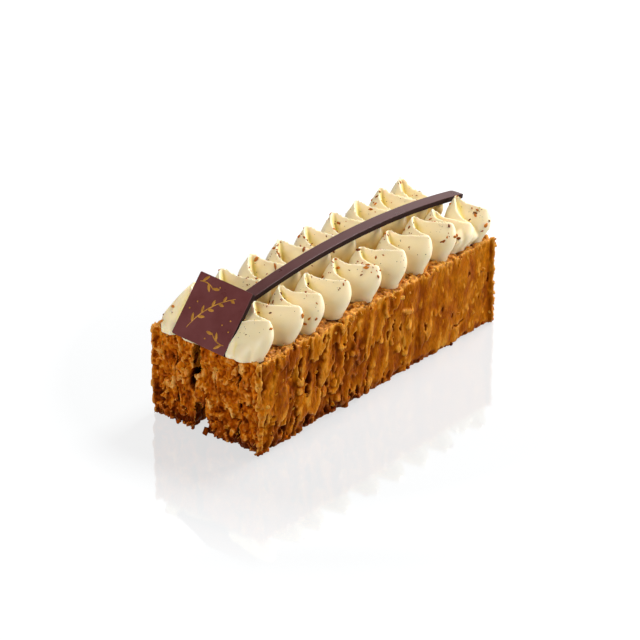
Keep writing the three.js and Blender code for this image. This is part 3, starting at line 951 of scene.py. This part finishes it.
def creamField(row, look):
    path = ridgePath(row, look)
    ahead = np.gradient(path[:, :2], axis=0)
    ahead /= np.linalg.norm(ahead, axis=1, keepdims=True)
    rise, fromPeak = path[:, 2], path[:, 3]
    middleY, halfY = (row["innerY"] + row["outerY"]) / 2, abs(row["innerY"] - row["outerY"]) / 2
    size = look["wobbleSize"]
    fat = 1 + look["wobble"] * smoothNoise(row["seed"], path[:, 0] / size, path[:, 1] / size)
    fat -= look["noseSlim"] * smoothStep(np.abs(path[:, 1] - middleY) / halfY)
    slim = look["pocketSlim"] * (1 - fromPeak) ** look["slimCurve"]
    blunt = smoothStep((fromPeak - look["bluntFrom"]) / (1 - look["bluntFrom"]))
    sharpness = look["sharpness"] - look["noseBlunt"] * blunt
    lean = look["lean"] * (look["peakLean"] + (1 - look["peakLean"]) * fromPeak)
    axes = [
        np.arange(-63, 63, look["step"]),
        np.arange(middleY - halfY - 4, middleY + halfY + 4, look["step"]),
        np.arange(look["foot"] - 1, look["top"] + rise.max() + 1, look["step"]),
    ]
    batch, farthest = 24, 9    # columns at a time, and how far the path is looked for
    field = np.full([len(a) for a in axes], farthest, np.float32)
    for k, z in enumerate(axes[2]):
        level = np.clip((z - look["top"]) / rise, 0, None)
        half = look["bulge"] * fat * fullness(np.minimum(level, 1), sharpness, look)
        half = np.where(level < 1, half, (1 - level) * rise)
        low = 1 - np.minimum(level, 1)
        pathX = path[:, 0] - lean * low
        pathY = path[:, 1] + look["turnPull"] * low * (middleY - path[:, 1]) / halfY
        thin = np.where(level < 1, half * slim, 0)
        for start in range(0, len(axes[0]), batch):
            xs = axes[0][start:start + batch]
            near = (pathX > xs[0] - farthest) & (pathX < xs[-1] + farthest)
            if not near.any():
                continue
            offX, offY = xs[:, None, None] - pathX[near], axes[1][None, :, None] - pathY[near]
            side = ahead[near, 0] * offY - ahead[near, 1] * offX
            onRight = np.clip(0.5 - side / look["sideBlend"], 0, 1)    # the open pockets lie on this side
            apart = np.hypot(offX, offY) - half[near] + thin[near] * onRight
            field[start:start + batch, :, k] = apart.min(-1)
    return field, axes


def plaqueFrame(x, y, z):    # millimetres behind the front face, across and up the plaque
    off = [p - f for p, f in zip((x, y, z), plaqueLook["foot"])]
    return [sum(off[j] * plaqueTurn[j, k] for j in range(3)) for k in range(3)]


def stripTop(x):
    look = stripLook
    return look["crownZ"] - look["radius"] + np.sqrt(look["radius"] ** 2 - (x - look["crownX"]) ** 2)


def creamSkin(row, look):
    field, axes = creamField(row, look)
    field = np.minimum(field, softened(field, 1) + look["crease"])
    x, y, z = axes[0][:, None, None], axes[1][None, :, None], axes[2][None, None, :]
    spots = [c / look["unevenSize"] for c in (x, y, z)]
    field = field + look["uneven"] * smoothNoise(row["seed"] + 50, *spots)
    field = np.maximum(np.maximum(field, look["foot"] - z), np.abs(x) - look["reach"])
    behind, across, up = plaqueFrame(x, y, z)
    halfWide, halfTall = plaqueLook["width"] / 2, plaqueLook["height"] / 2
    inPlaque = np.maximum(np.abs(across) - halfWide, np.abs(up - halfTall) - halfTall - 1)
    field = np.maximum(field, -np.maximum(inPlaque, behind - plaqueLook["thickness"] + look["pressed"]))
    underStrip = np.maximum(np.abs(y - stripLook["middleY"]) - stripLook["width"] / 2,
                            stripTop(x) - stripLook["thickness"] + look["pressed"] - z)
    field = np.maximum(field, -underStrip)
    verts, faces = surfaceNets(field.astype(np.float32), axes)
    return smoothed(verts, faces, look["smoothRounds"]), faces


def makeCream(node, row, look):
    verts, faces = creamSkin(row, look)
    fromStrip = np.abs(verts[:, 1] - stripLook["middleY"])
    underStrip = look["shade"] * smoothStep((look["shadeFrom"] - fromStrip) / look["shadeOver"])
    masks = {mask: reliefOf(verts, faces, look[mask + "Rounds"]) for mask in ("relief", "hollow")}
    masks["shade"] = underStrip * smoothStep((look["shadeTop"] - verts[:, 2]) / look["shadeFade"])
    piece = makeMesh(node + "_piped", verts, faces, creamMaterial, masks)
    place(piece, "cream", node)
    return verts, vertNormals(verts, faces)


creamSurfaces = [
    makeCream("cream_row_near", nearRow, creamLook), makeCream("cream_row_far", farRow, creamLook),
]


# Chocolate strip and plaque

def sweptBar(rings):    # closed skin over a run of equal rings
    count, sides = rings.shape[:2]
    verts = rings.reshape(-1, 3)
    here = np.arange(count - 1)[:, None] * sides + np.arange(sides)[None, :]
    there = np.arange(count - 1)[:, None] * sides + (np.arange(sides)[None, :] + 1) % sides
    walls = np.concatenate([
        np.stack([here, there, there + sides], -1), np.stack([here, there + sides, here + sides], -1),
    ])
    verts = np.concatenate([verts, [rings[0].mean(0), rings[-1].mean(0)]])
    ring, last = np.arange(sides), (count - 1) * sides
    step = (ring + 1) % sides
    caps = [np.stack([np.full(sides, len(verts) - 2), step, ring], 1),
            np.stack([np.full(sides, len(verts) - 1), last + ring, last + step], 1)]
    return verts, np.concatenate([walls.reshape(-1, 3), *caps])


def roundedSection(width, height, bevel):    # each corner: an arc between two points that keep the flats flat
    spots = []
    for cornerY, cornerZ, start in ((1, 1, 0), (-1, 1, 90), (-1, -1, 180), (1, -1, 270)):
        for turn, slide in ((0, -1), (0, 0), (30, 0), (60, 0), (90, 0), (90, 1)):
            angle = math.radians(start + turn)
            shift = slide * bevel * 0.5
            spots.append((
                cornerY * (width / 2 - bevel) + bevel * math.cos(angle) - shift * math.sin(angle),
                cornerZ * (height / 2 - bevel) + bevel * math.sin(angle) + shift * math.cos(angle),
            ))
    return np.array(spots)


def makeStrip(look):
    section = roundedSection(look["width"], look["thickness"], look["bevel"])
    along = np.linspace(look["fromX"], look["toX"], look["steps"])
    rings = []
    for k, x in enumerate(along):
        angle = math.asin((x - look["crownX"]) / look["radius"])
        inset = look["bevel"] * (look["endInset"] if k in (0, len(along) - 1) else 0)
        outline = section * (1 - 2 * inset / np.array([look["width"], look["thickness"]]))
        rise = look["radius"] - look["thickness"] / 2 + outline[:, 1]
        centreZ = look["crownZ"] - look["radius"]
        rings.append(np.stack([look["crownX"] + rise * math.sin(angle), look["middleY"] + outline[:, 0],
                               centreZ + rise * math.cos(angle)], 1))
    verts, faces = sweptBar(np.array(rings))
    # the cut mask is 1 on the sides and 0.62 on the top, so the top keeps some painted sheen
    side = np.concatenate([look["sideToTop"], look["sideToTop"][::-1], np.ones(2 * len(look["sideToTop"]))])
    masks = {"cut": np.concatenate([np.tile(side, len(along)), (1, 1)])}
    piece = makeMesh("chocolate_strip_arched", verts, faces, chocolateMaterial, masks)
    place(piece, "chocolate", "chocolate_strip")


def fromPlaque(spots):    # plaque frame to the slice's frame
    return np.asarray(spots) @ plaqueTurn.T + np.array(plaqueLook["foot"])


def makePlaque(look):
    section = roundedSection(look["width"], look["height"], look["bevel"] * 2)
    front = [(0.0, 1.0), (0.0, 0.3), (look["bevel"] * 0.3, 0.1), (look["bevel"], 0.0)]
    back = [(look["thickness"] - depth, inset) for depth, inset in front[::-1]]
    rings = []
    for depth, inset in front + back:
        outline = section * (1 - 2 * inset * look["bevel"] / np.array([look["width"], look["height"]]))
        outline = outline + (0, look["height"] / 2)
        rings.append(np.column_stack([np.full(len(outline), depth), outline]))
    verts, faces = sweptBar(np.array(rings))
    # the cut mask is 0 on the front, which takes the painted sheen, and 1 on the sides and back
    masks = {"cut": np.concatenate([np.repeat(look["frontToBack"], len(section)), (0, 1)])}
    piece = makeMesh("chocolate_plaque_leaning", fromPlaque(verts), faces, chocolateMaterial, masks)
    place(piece, "chocolate", "chocolate_plaque")


makeStrip(stripLook)
makePlaque(plaqueLook)


# Small print on the plaque: a leafy sprig in gold

printLook = {
    "lineWidth": 0.40, "thinnest": 0.45, "stemTaper": (0.12, 0.7), "points": 24, "thickness": 0.10,
    "leafWidth": 1.05, "leafLength": 3.0, "leafShorter": 0.05, "leafTaper": (0.05, 0.8), "leafPoints": 12,
    "leafAngle": 42, "firstLeaf": 0.18, "lastLeaf": 0.96, "dotSize": 0.55, "dotPoints": 9,
    "stems": [    # each: the start, the pull of the curve and the end, across and up the plaque
        {"from": (6.6, 3.4), "pull": (3.6, 12.6), "to": (-5.8, 17.6), "leaves": 8},
        {"from": (9.4, 18.4), "pull": (6.2, 19.4), "to": (3.4, 17.4), "leaves": 3},
        {"from": (-9.2, 3.0), "pull": (-5.8, 2.4), "to": (-3.2, 5.2), "leaves": 3},
    ],
    "dots": [(-7.6, 10.8), (-5.4, 8.6), (-8.6, 7.4), (6.9, 12.2), (8.6, 9.4), (-1.6, 2.6), (1.4, 18.9)],
}


def printStroke(line, widths):    # a flat raised stroke along a line on the plaque
    ahead = np.gradient(line, axis=0)
    ahead /= np.linalg.norm(ahead, axis=1, keepdims=True)
    aside = np.stack([-ahead[:, 1], ahead[:, 0]], 1)
    rings = []
    for angle in np.arange(0, 360, 45):
        reach = line + aside * (widths * math.cos(math.radians(angle)) / 2)[:, None]
        depth = np.full(len(line), -math.sin(math.radians(angle)) * printLook["thickness"] / 2)
        rings.append(np.column_stack([depth, reach]))
    return sweptBar(np.stack(rings, 1))


def tapered(count, blunt, power):
    return np.sin(np.linspace(blunt, math.pi - blunt, count)) ** power


def stemLine(stem, count):
    t = np.linspace(0, 1, count)[:, None]
    start, pull, end = [np.array(stem[key]) for key in ("from", "pull", "to")]
    return start * (1 - t) ** 2 + 2 * pull * t * (1 - t) + end * t * t


def joined(shapes):    # many small skins as one
    starts = np.cumsum([0] + [len(verts) for verts, _ in shapes[:-1]])
    return (np.concatenate([verts for verts, _ in shapes]),
            np.concatenate([faces + start for (_, faces), start in zip(shapes, starts)]))


def makePrint(look):
    strokes = []
    stemWidths = look["thinnest"] + (1 - look["thinnest"]) * tapered(look["points"], *look["stemTaper"])
    leafWidths = look["leafWidth"] * tapered(look["leafPoints"], *look["leafTaper"])
    for stem in look["stems"]:
        line = stemLine(stem, look["points"])
        strokes.append(printStroke(line, look["lineWidth"] * stemWidths))
        for k in range(stem["leaves"]):
            share = look["firstLeaf"] + (look["lastLeaf"] - look["firstLeaf"]) * k / (stem["leaves"] - 1)
            spot = int(share * (look["points"] - 2))
            way = line[spot + 1] - line[spot]
            angle = math.atan2(way[1], way[0]) + math.radians(look["leafAngle"] * (1 if k % 2 else -1))
            length = look["leafLength"] * (1.0 - look["leafShorter"] * k)
            reach = np.linspace(0, length, look["leafPoints"])[:, None] * (math.cos(angle), math.sin(angle))
            strokes.append(printStroke(line[spot] + reach, leafWidths))
    for dot in look["dots"]:
        reach = np.linspace(-look["dotSize"] / 2, look["dotSize"] / 2, look["dotPoints"])
        shape = np.sqrt(np.clip(1 - (2.05 * reach / look["dotSize"]) ** 2, 0.02, 1))    # round, with blunt ends
        strokes.append(printStroke(np.add(dot, np.column_stack([reach, reach * 0])), look["dotSize"] * shape))
    verts, faces = joined(strokes)
    piece = makeMesh("plaque_sprig_print", fromPlaque(verts), faces, goldMaterial)
    place(piece, "chocolate")


makePrint(printLook)


# Loose bits: crumbs and specks on the cream, flakes and crumbs on the pastry

def blobShape():    # an octahedron split once
    points = [side * way for way in np.eye(3) for side in (1, -1)]
    middles, faces = {}, []

    def middle(a, b):
        key = (min(a, b), max(a, b))
        if key not in middles:
            middles[key] = len(points)
            points.append((points[a] + points[b]) / np.linalg.norm(points[a] + points[b]))
        return middles[key]

    for a, b, c in ((0, 2, 4), (2, 1, 4), (1, 3, 4), (3, 0, 4), (2, 0, 5), (1, 2, 5), (3, 1, 5), (0, 3, 5)):
        ab, bc, ca = middle(a, b), middle(b, c), middle(c, a)
        faces += [(a, ab, ca), (ab, b, bc), (ca, bc, c), (ab, bc, ca)]
    return np.array(points), np.array(faces)


def turnedTo(normals, spins):    # a frame for each point, its third axis along the normal
    other = np.where(np.abs(normals[:, 2:]) < 0.9, (0.0, 0.0, 1.0), (1.0, 0.0, 0.0))
    first = np.cross(other, normals)
    first /= np.linalg.norm(first, axis=1, keepdims=True)
    second = np.cross(normals, first)
    c, s = np.cos(spins)[:, None], np.sin(spins)[:, None]
    return np.stack([first * c + second * s, second * c - first * s, normals], 2)


def scatter(shapes, faces, frames, spots):    # one shape per spot, all in one skin
    verts = np.einsum("nij,nkj->nki", frames, shapes) + spots[:, None]
    starts = np.arange(len(spots))[:, None, None] * shapes.shape[1]
    return verts.reshape(-1, 3), (faces[None] + starts).reshape(-1, faces.shape[1])


def lumps(rng, sizes, rough):
    points, faces = blobShape()
    return points * sizes[:, None] * (1 + rough * rng.normal(size=(len(sizes), len(points), 1))), faces


def mostlyShort(rng, span, power, size):    # lengths, the more of them short the higher the power
    return span[0] + (span[1] - span[0]) * rng.uniform(size=size) ** power


creamCrumbs = {
    "count": 340, "seed": 41, "length": (0.5, 2.0), "lengthPower": 2.2, "narrow": 0.55, "flat": 0.48,
    "spread": (0.75, 1.25), "rough": 0.22, "raise": 0.35, "tintPower": 0.8, "clusterShare": 0.45,
    "clusterReach": 2.6, "lowest": 34.5,
}
vanillaSpecks = {
    "count": 420, "seed": 43, "length": (0.16, 0.36), "shape": (1.0, 0.8, 0.35), "rough": 0.15,
    "lowest": 33.0,
}
spotRules = {    # where bits can lie on the cream, and how likely
    "leastUp": 0.12, "pastPlaque": 1.0, "behindPlaque": 3.5, "pastStrip": 0.8, "least": 0.12,
    "risesFrom": 35.0, "risesOver": 8.0,
}


def creamSpots(rng, count, lowest):    # points of the open cream, more of them on the upper parts
    verts, normals = [np.concatenate(parts) for parts in zip(*creamSurfaces)]
    behind, across, up = plaqueFrame(*verts.T)
    rules = spotRules
    nearPlaque = (np.abs(across) < plaqueLook["width"] / 2 + rules["pastPlaque"])
    nearPlaque &= (up < plaqueLook["height"] + rules["pastPlaque"]) & (behind < rules["behindPlaque"])
    nearStrip = np.abs(verts[:, 1] - stripLook["middleY"]) < stripLook["width"] / 2 + rules["pastStrip"]
    clear = (normals[:, 2] > rules["leastUp"]) & ~nearPlaque & ~nearStrip & (verts[:, 2] > lowest)
    higher = smoothStep((verts[:, 2] - rules["risesFrom"]) / rules["risesOver"])
    chance = np.where(clear, rules["least"] + higher, 0)
    picks = rng.choice(len(verts), count, replace=False, p=chance / chance.sum())
    return verts, normals, clear, picks


def makeCreamCrumbs(look):
    rng = np.random.default_rng(look["seed"])
    verts, normals, clear, picks = creamSpots(rng, look["count"], look["lowest"])
    gathered = int(look["count"] * look["clusterShare"])
    for k in range(gathered):    # these gather round the others
        middle = verts[picks[rng.integers(gathered, look["count"])]]
        close = np.flatnonzero(clear & (np.abs(verts - middle).max(1) < look["clusterReach"]))
        picks[k] = rng.choice(close)
    length = mostlyShort(rng, look["length"], look["lengthPower"], look["count"])
    sizes = length[:, None] / 2 * np.array([1, look["narrow"], look["flat"]])
    sizes = sizes * rng.uniform(*look["spread"], sizes.shape)
    shapes, faces = lumps(rng, sizes, look["rough"])
    frames = turnedTo(normals[picks], rng.uniform(0, 2 * math.pi, look["count"]))
    spots = verts[picks] + normals[picks] * (look["raise"] * sizes[:, 2:])
    skin, faces = scatter(shapes, faces, frames, spots)
    tint = np.repeat(rng.uniform(0, 1, look["count"]) ** look["tintPower"], shapes.shape[1])
    piece = makeMesh("cream_caramel_crumbs", skin, faces, crumbMaterial, {"tint": tint})
    place(piece, "pastry")


def makeSpecks(look):
    rng = np.random.default_rng(look["seed"])
    verts, normals, _, picks = creamSpots(rng, look["count"], look["lowest"])
    length = rng.uniform(*look["length"], look["count"])
    sizes = length[:, None] / 2 * np.array(look["shape"])
    shapes, faces = lumps(rng, sizes, look["rough"])
    frames = turnedTo(normals[picks], rng.uniform(0, 2 * math.pi, look["count"]))
    skin, faces = scatter(shapes, faces, frames, verts[picks])
    piece = makeMesh("cream_vanilla_specks", skin, faces, speckMaterial)
    place(piece, "cream")


makeCreamCrumbs(creamCrumbs)
makeSpecks(vanillaSpecks)

pastryFlakes = {
    "seed": 51, "along": 6, "across": 5, "length": (0.7, 2.0), "lengthPower": 1.8, "narrow": (0.45, 0.9),
    "thickness": 0.12, "curl": 0.2, "tilt": (4, 24), "spin": (-80, 20), "sunk": 0.15, "farthestY": 23.7,
    "facing": 0.35, "tint": (0.2, 1.0), "rimRelief": 0.25, "hollow": 0.25, "crumb": 0.3, "outward": 0.8,
    "raggedAlong": 0.12, "raggedAcross": 0.18, "pointed": 0.7, "curlSpread": (-0.4, 1),
    "areas": [    # box, the way its flakes face and how many
        {"low": (-60, -24, 28.5), "high": (61, -21, 34), "way": (0, -1, 0), "count": 70},
        {"low": (-60, -24, 2), "high": (61, -21, 28.5), "way": (0, -1, 0), "count": 45},
        {"low": (-60, -24, 30.5), "high": (61, -18, 34), "way": (0, 0, 1), "count": 70},
        {"low": (-62, -21, 2), "high": (-57, 20, 31), "way": (-1, 0, 0), "count": 110},
        {"low": (57, -23, 2), "high": (62, 23, 31), "way": (1, 0, 0), "count": 110},
        {"low": (-60, 21, 2), "high": (61, 24, 32), "way": (0, 1, 0), "count": 90},
        {"low": (58, -24, 3), "high": (62, -20, 33), "way": (0.7, -0.7, 0), "count": 26},
    ],
}
baseCrumbs = {
    "seed": 57, "count": 130, "length": (0.5, 1.9), "lengthPower": 2, "rough": 0.22, "highest": 2.2,
    "edgeX": 58.6, "edgeY": 21.2, "spread": (0.5, 1), "lowest": 0.02, "tint": (0, 0.8), "low": 0.4,
    "chunks": [    # place and length
        ((-60.2, 0.2, 1.2), 3.2), ((-60.2, 11.5, 0.9), 2.2), ((-60.0, -22.3, 1.2), 2.6),
    ],
}


def flakeShapes(rng, look, count):    # thin curled leaves, thickest at the middle, with one shared rim
    s, t = np.meshgrid(np.linspace(-1, 1, look["along"]), np.linspace(-1, 1, look["across"]), indexing="ij")
    inner = (np.abs(s) < 1) & (np.abs(t) < 1)
    length = mostlyShort(rng, look["length"], look["lengthPower"], (count, 1, 1))
    width = length * rng.uniform(*look["narrow"], (count, 1, 1))
    size = (count, *s.shape)
    x = length / 2 * (s + look["outward"]) * (1 + look["raggedAlong"] * rng.normal(size=size))
    y = width / 2 * t * np.sqrt(1 - look["pointed"] * s ** 2)
    y = y * (1 + look["raggedAcross"] * rng.normal(size=size))
    curl = length * look["curl"] * rng.uniform(*look["curlSpread"], (count, 1, 1))
    z = curl * (t ** 2 + (s + 1) ** 2 / 3) / 2
    tilt = np.radians(rng.uniform(*look["tilt"], (count, 1, 1)))
    x, z = x * np.cos(tilt) - z * np.sin(tilt), x * np.sin(tilt) + z * np.cos(tilt) - look["sunk"]
    thick = look["thickness"] / 2 * inner
    top, under = [np.stack([x, y, z + way * thick], -1).reshape(count, -1, 3) for way in (1, -1)]
    shapes = np.concatenate([top, under[:, inner.ravel()]], 1)
    index = np.arange(s.size).reshape(s.shape)
    below = index.copy()
    below[inner] = s.size + np.arange(inner.sum())
    corners = [(slice(None, -1), slice(None, -1)), (slice(1, None), slice(None, -1)),
               (slice(1, None), slice(1, None)), (slice(None, -1), slice(1, None))]
    upper = np.stack([index[c] for c in corners], -1).reshape(-1, 4)
    lower = np.stack([below[c] for c in corners[::-1]], -1).reshape(-1, 4)
    rim = np.concatenate([1.0 - inner.ravel(), np.zeros(inner.sum())])
    return shapes, np.concatenate([upper, lower]), rim


def makeFlakes(look):
    rng = np.random.default_rng(look["seed"])
    verts = np.concatenate([nearSkin[0], farSkin[0]])
    normals = np.concatenate([vertNormals(*nearSkin), vertNormals(*farSkin)])
    picks = []
    for area in look["areas"]:
        inside = ((verts > area["low"]) & (verts < area["high"])).all(1)
        inside &= normals @ np.array(area["way"]) > look["facing"]
        picks.append(rng.choice(np.flatnonzero(inside), area["count"], replace=False))
    picks = np.concatenate(picks)
    shapes, faces, rim = flakeShapes(rng, look, len(picks))
    frames = turnedTo(normals[picks], np.radians(rng.uniform(*look["spin"], len(picks))))
    skin, faces = scatter(shapes, faces, frames, verts[picks])
    skin[:, 1] = np.clip(skin[:, 1], -look["farthestY"], look["farthestY"])
    masks = {
        "tint": np.repeat(rng.uniform(*look["tint"], len(picks)), len(rim)), "rim": np.tile(rim, len(picks)),
        # relief lightens the flake rims: pale lips with a painted highlight
        "relief": np.tile(look["rimRelief"] * rim, len(picks)),
        "hollow": np.full(len(skin), look["hollow"]), "crumb": np.full(len(skin), look["crumb"]),
    }
    piece = makeMesh("pastry_loose_flakes", skin, faces, pastryMaterial, masks)
    place(piece, "pastry")


def makeBaseCrumbs(look):
    rng = np.random.default_rng(look["seed"])
    verts = np.concatenate([nearSkin[0], farSkin[0]])
    outside = (np.abs(verts[:, 0]) > look["edgeX"]) | (np.abs(verts[:, 1]) > look["edgeY"])
    atFoot = np.flatnonzero(outside & (verts[:, 2] < look["highest"]))
    spots = verts[rng.choice(atFoot, look["count"], replace=False)]
    length = mostlyShort(rng, look["length"], look["lengthPower"], look["count"])
    spots = np.concatenate([spots, [spot for spot, _ in look["chunks"]]])
    length = np.concatenate([length, [size for _, size in look["chunks"]]])
    sizes = length[:, None] / 2 * rng.uniform(*look["spread"], (len(spots), 3))
    shapes, faces = lumps(rng, sizes, look["rough"])
    ways = rng.normal(size=(len(spots), 3))
    ways /= np.linalg.norm(ways, axis=1, keepdims=True)
    skin, faces = scatter(shapes, faces, turnedTo(ways, rng.uniform(0, 2 * math.pi, len(spots))), spots)
    skin[:, 1] = np.clip(skin[:, 1], -pastryFlakes["farthestY"], pastryFlakes["farthestY"])
    skin[:, 2] = np.maximum(skin[:, 2], look["lowest"])
    masks = {
        "tint": np.repeat(rng.uniform(*look["tint"], len(spots)), shapes.shape[1]),
        "crumb": np.ones(len(skin)), "low": np.full(len(skin), look["low"]),
    }
    piece = makeMesh("pastry_base_crumbs", skin, faces, pastryMaterial, masks)
    place(piece, "pastry")


makeFlakes(pastryFlakes)
makeBaseCrumbs(baseCrumbs)


# Stage: pale floor, soft light

stageLook = {
    "floorSize": 6.0, "floorColour": (0.14, 0.147, 0.15), "floorGlow": 0.645, "floorRoughness": 0.06,
    "floorGloss": 1.8, "bounceShare": 0.3, "glowFar": 1.36, "farFrom": 0.085, "farFade": 0.065,
    "worldLight": 0.12, "backdrop": 1.0,
    "lamps": [    # name, place, aim, size and watts
        ("keySoftbox", (0.68, -0.02, 0.86), (0, 0, 0.03), (0.4, 0.4), 13.5),
        ("backPanel", (0.95, 0.79, 0.47), (0, 0, 0.03), (1.3, 0.6), 2.7),
        ("frontSoftbox", (0.78, -0.72, 0.40), (0, 0, 0.02), (0.5, 0.5), 9.0),
        ("leftFill", (-0.86, -0.08, 0.46), (0, 0, 0.02), (0.5, 0.5), 5.4),
    ],
}


def addByRay(tree, ray, value, elsewhere):    # one value for a kind of ray, another for the rest
    share = addMath(tree, "MULTIPLY", addNode(tree, "ShaderNodeLightPath").outputs[ray], value - elsewhere)
    return addMath(tree, "ADD", share, elsewhere)


def makeFloor(look):
    half = look["floorSize"] / 2
    mesh = bpy.data.meshes.new("floor")
    corners = [(-half, -half, 0), (half, -half, 0), (half, half, 0), (-half, half, 0)]
    mesh.from_pydata(corners, [], [(0, 1, 2, 3)])
    material, tree, shader = newMaterial("paleFloor", {
        "Base Color": (*look["floorColour"], 1), "Roughness": look["floorRoughness"],
        "IOR": look["floorGloss"],
    })
    away = addNode(tree, "ShaderNodeVectorMath", operation="LENGTH")
    tree.links.new(addNode(tree, "ShaderNodeTexCoord").outputs["Object"], away.inputs[0])
    # painted shade: the floor glows less near the slice, so it is greyer round it
    far = addMath(tree, "SUBTRACT", away.outputs["Value"], look["farFrom"])
    far = addMath(tree, "MULTIPLY", far, 1 / look["farFade"], clamp=True)    # whiter away from the slice
    tree.links.new(addMix(tree, far, (1, 1, 1), (look["glowFar"],) * 3), shader.inputs["Emission Color"])
    glow = addByRay(tree, "Is Diffuse Ray", look["floorGlow"] * look["bounceShare"], look["floorGlow"])
    tree.links.new(glow, shader.inputs["Emission Strength"])
    mesh.materials.append(material)
    floor = bpy.data.objects.new("floor", mesh)
    bpy.context.scene.collection.objects.link(floor)


def makeWorld(look):
    world = bpy.data.worlds.new("studio")
    world.use_nodes = True
    tree, sky = world.node_tree, world.node_tree.nodes["Background"]
    sky.inputs["Color"].default_value = (1, 1, 1, 1)
    light = addByRay(tree, "Is Camera Ray", look["backdrop"], look["worldLight"])
    tree.links.new(light, sky.inputs["Strength"])
    bpy.context.scene.world = world
    bpy.context.scene.view_settings.view_transform = "Standard"


def makeLamp(name, at, aim, size, watts):
    data = bpy.data.lights.new(name, "AREA")
    data.shape = "RECTANGLE"
    data.size, data.size_y = size
    data.energy = watts
    light = bpy.data.objects.new(name, data)
    light.location = at
    light.rotation_euler = (Vector(aim) - Vector(at)).to_track_quat("-Z", "Y").to_euler()
    bpy.context.scene.collection.objects.link(light)


makeFloor(stageLook)
makeWorld(stageLook)
for lamp in stageLook["lamps"]:
    makeLamp(*lamp)
print("stage set")
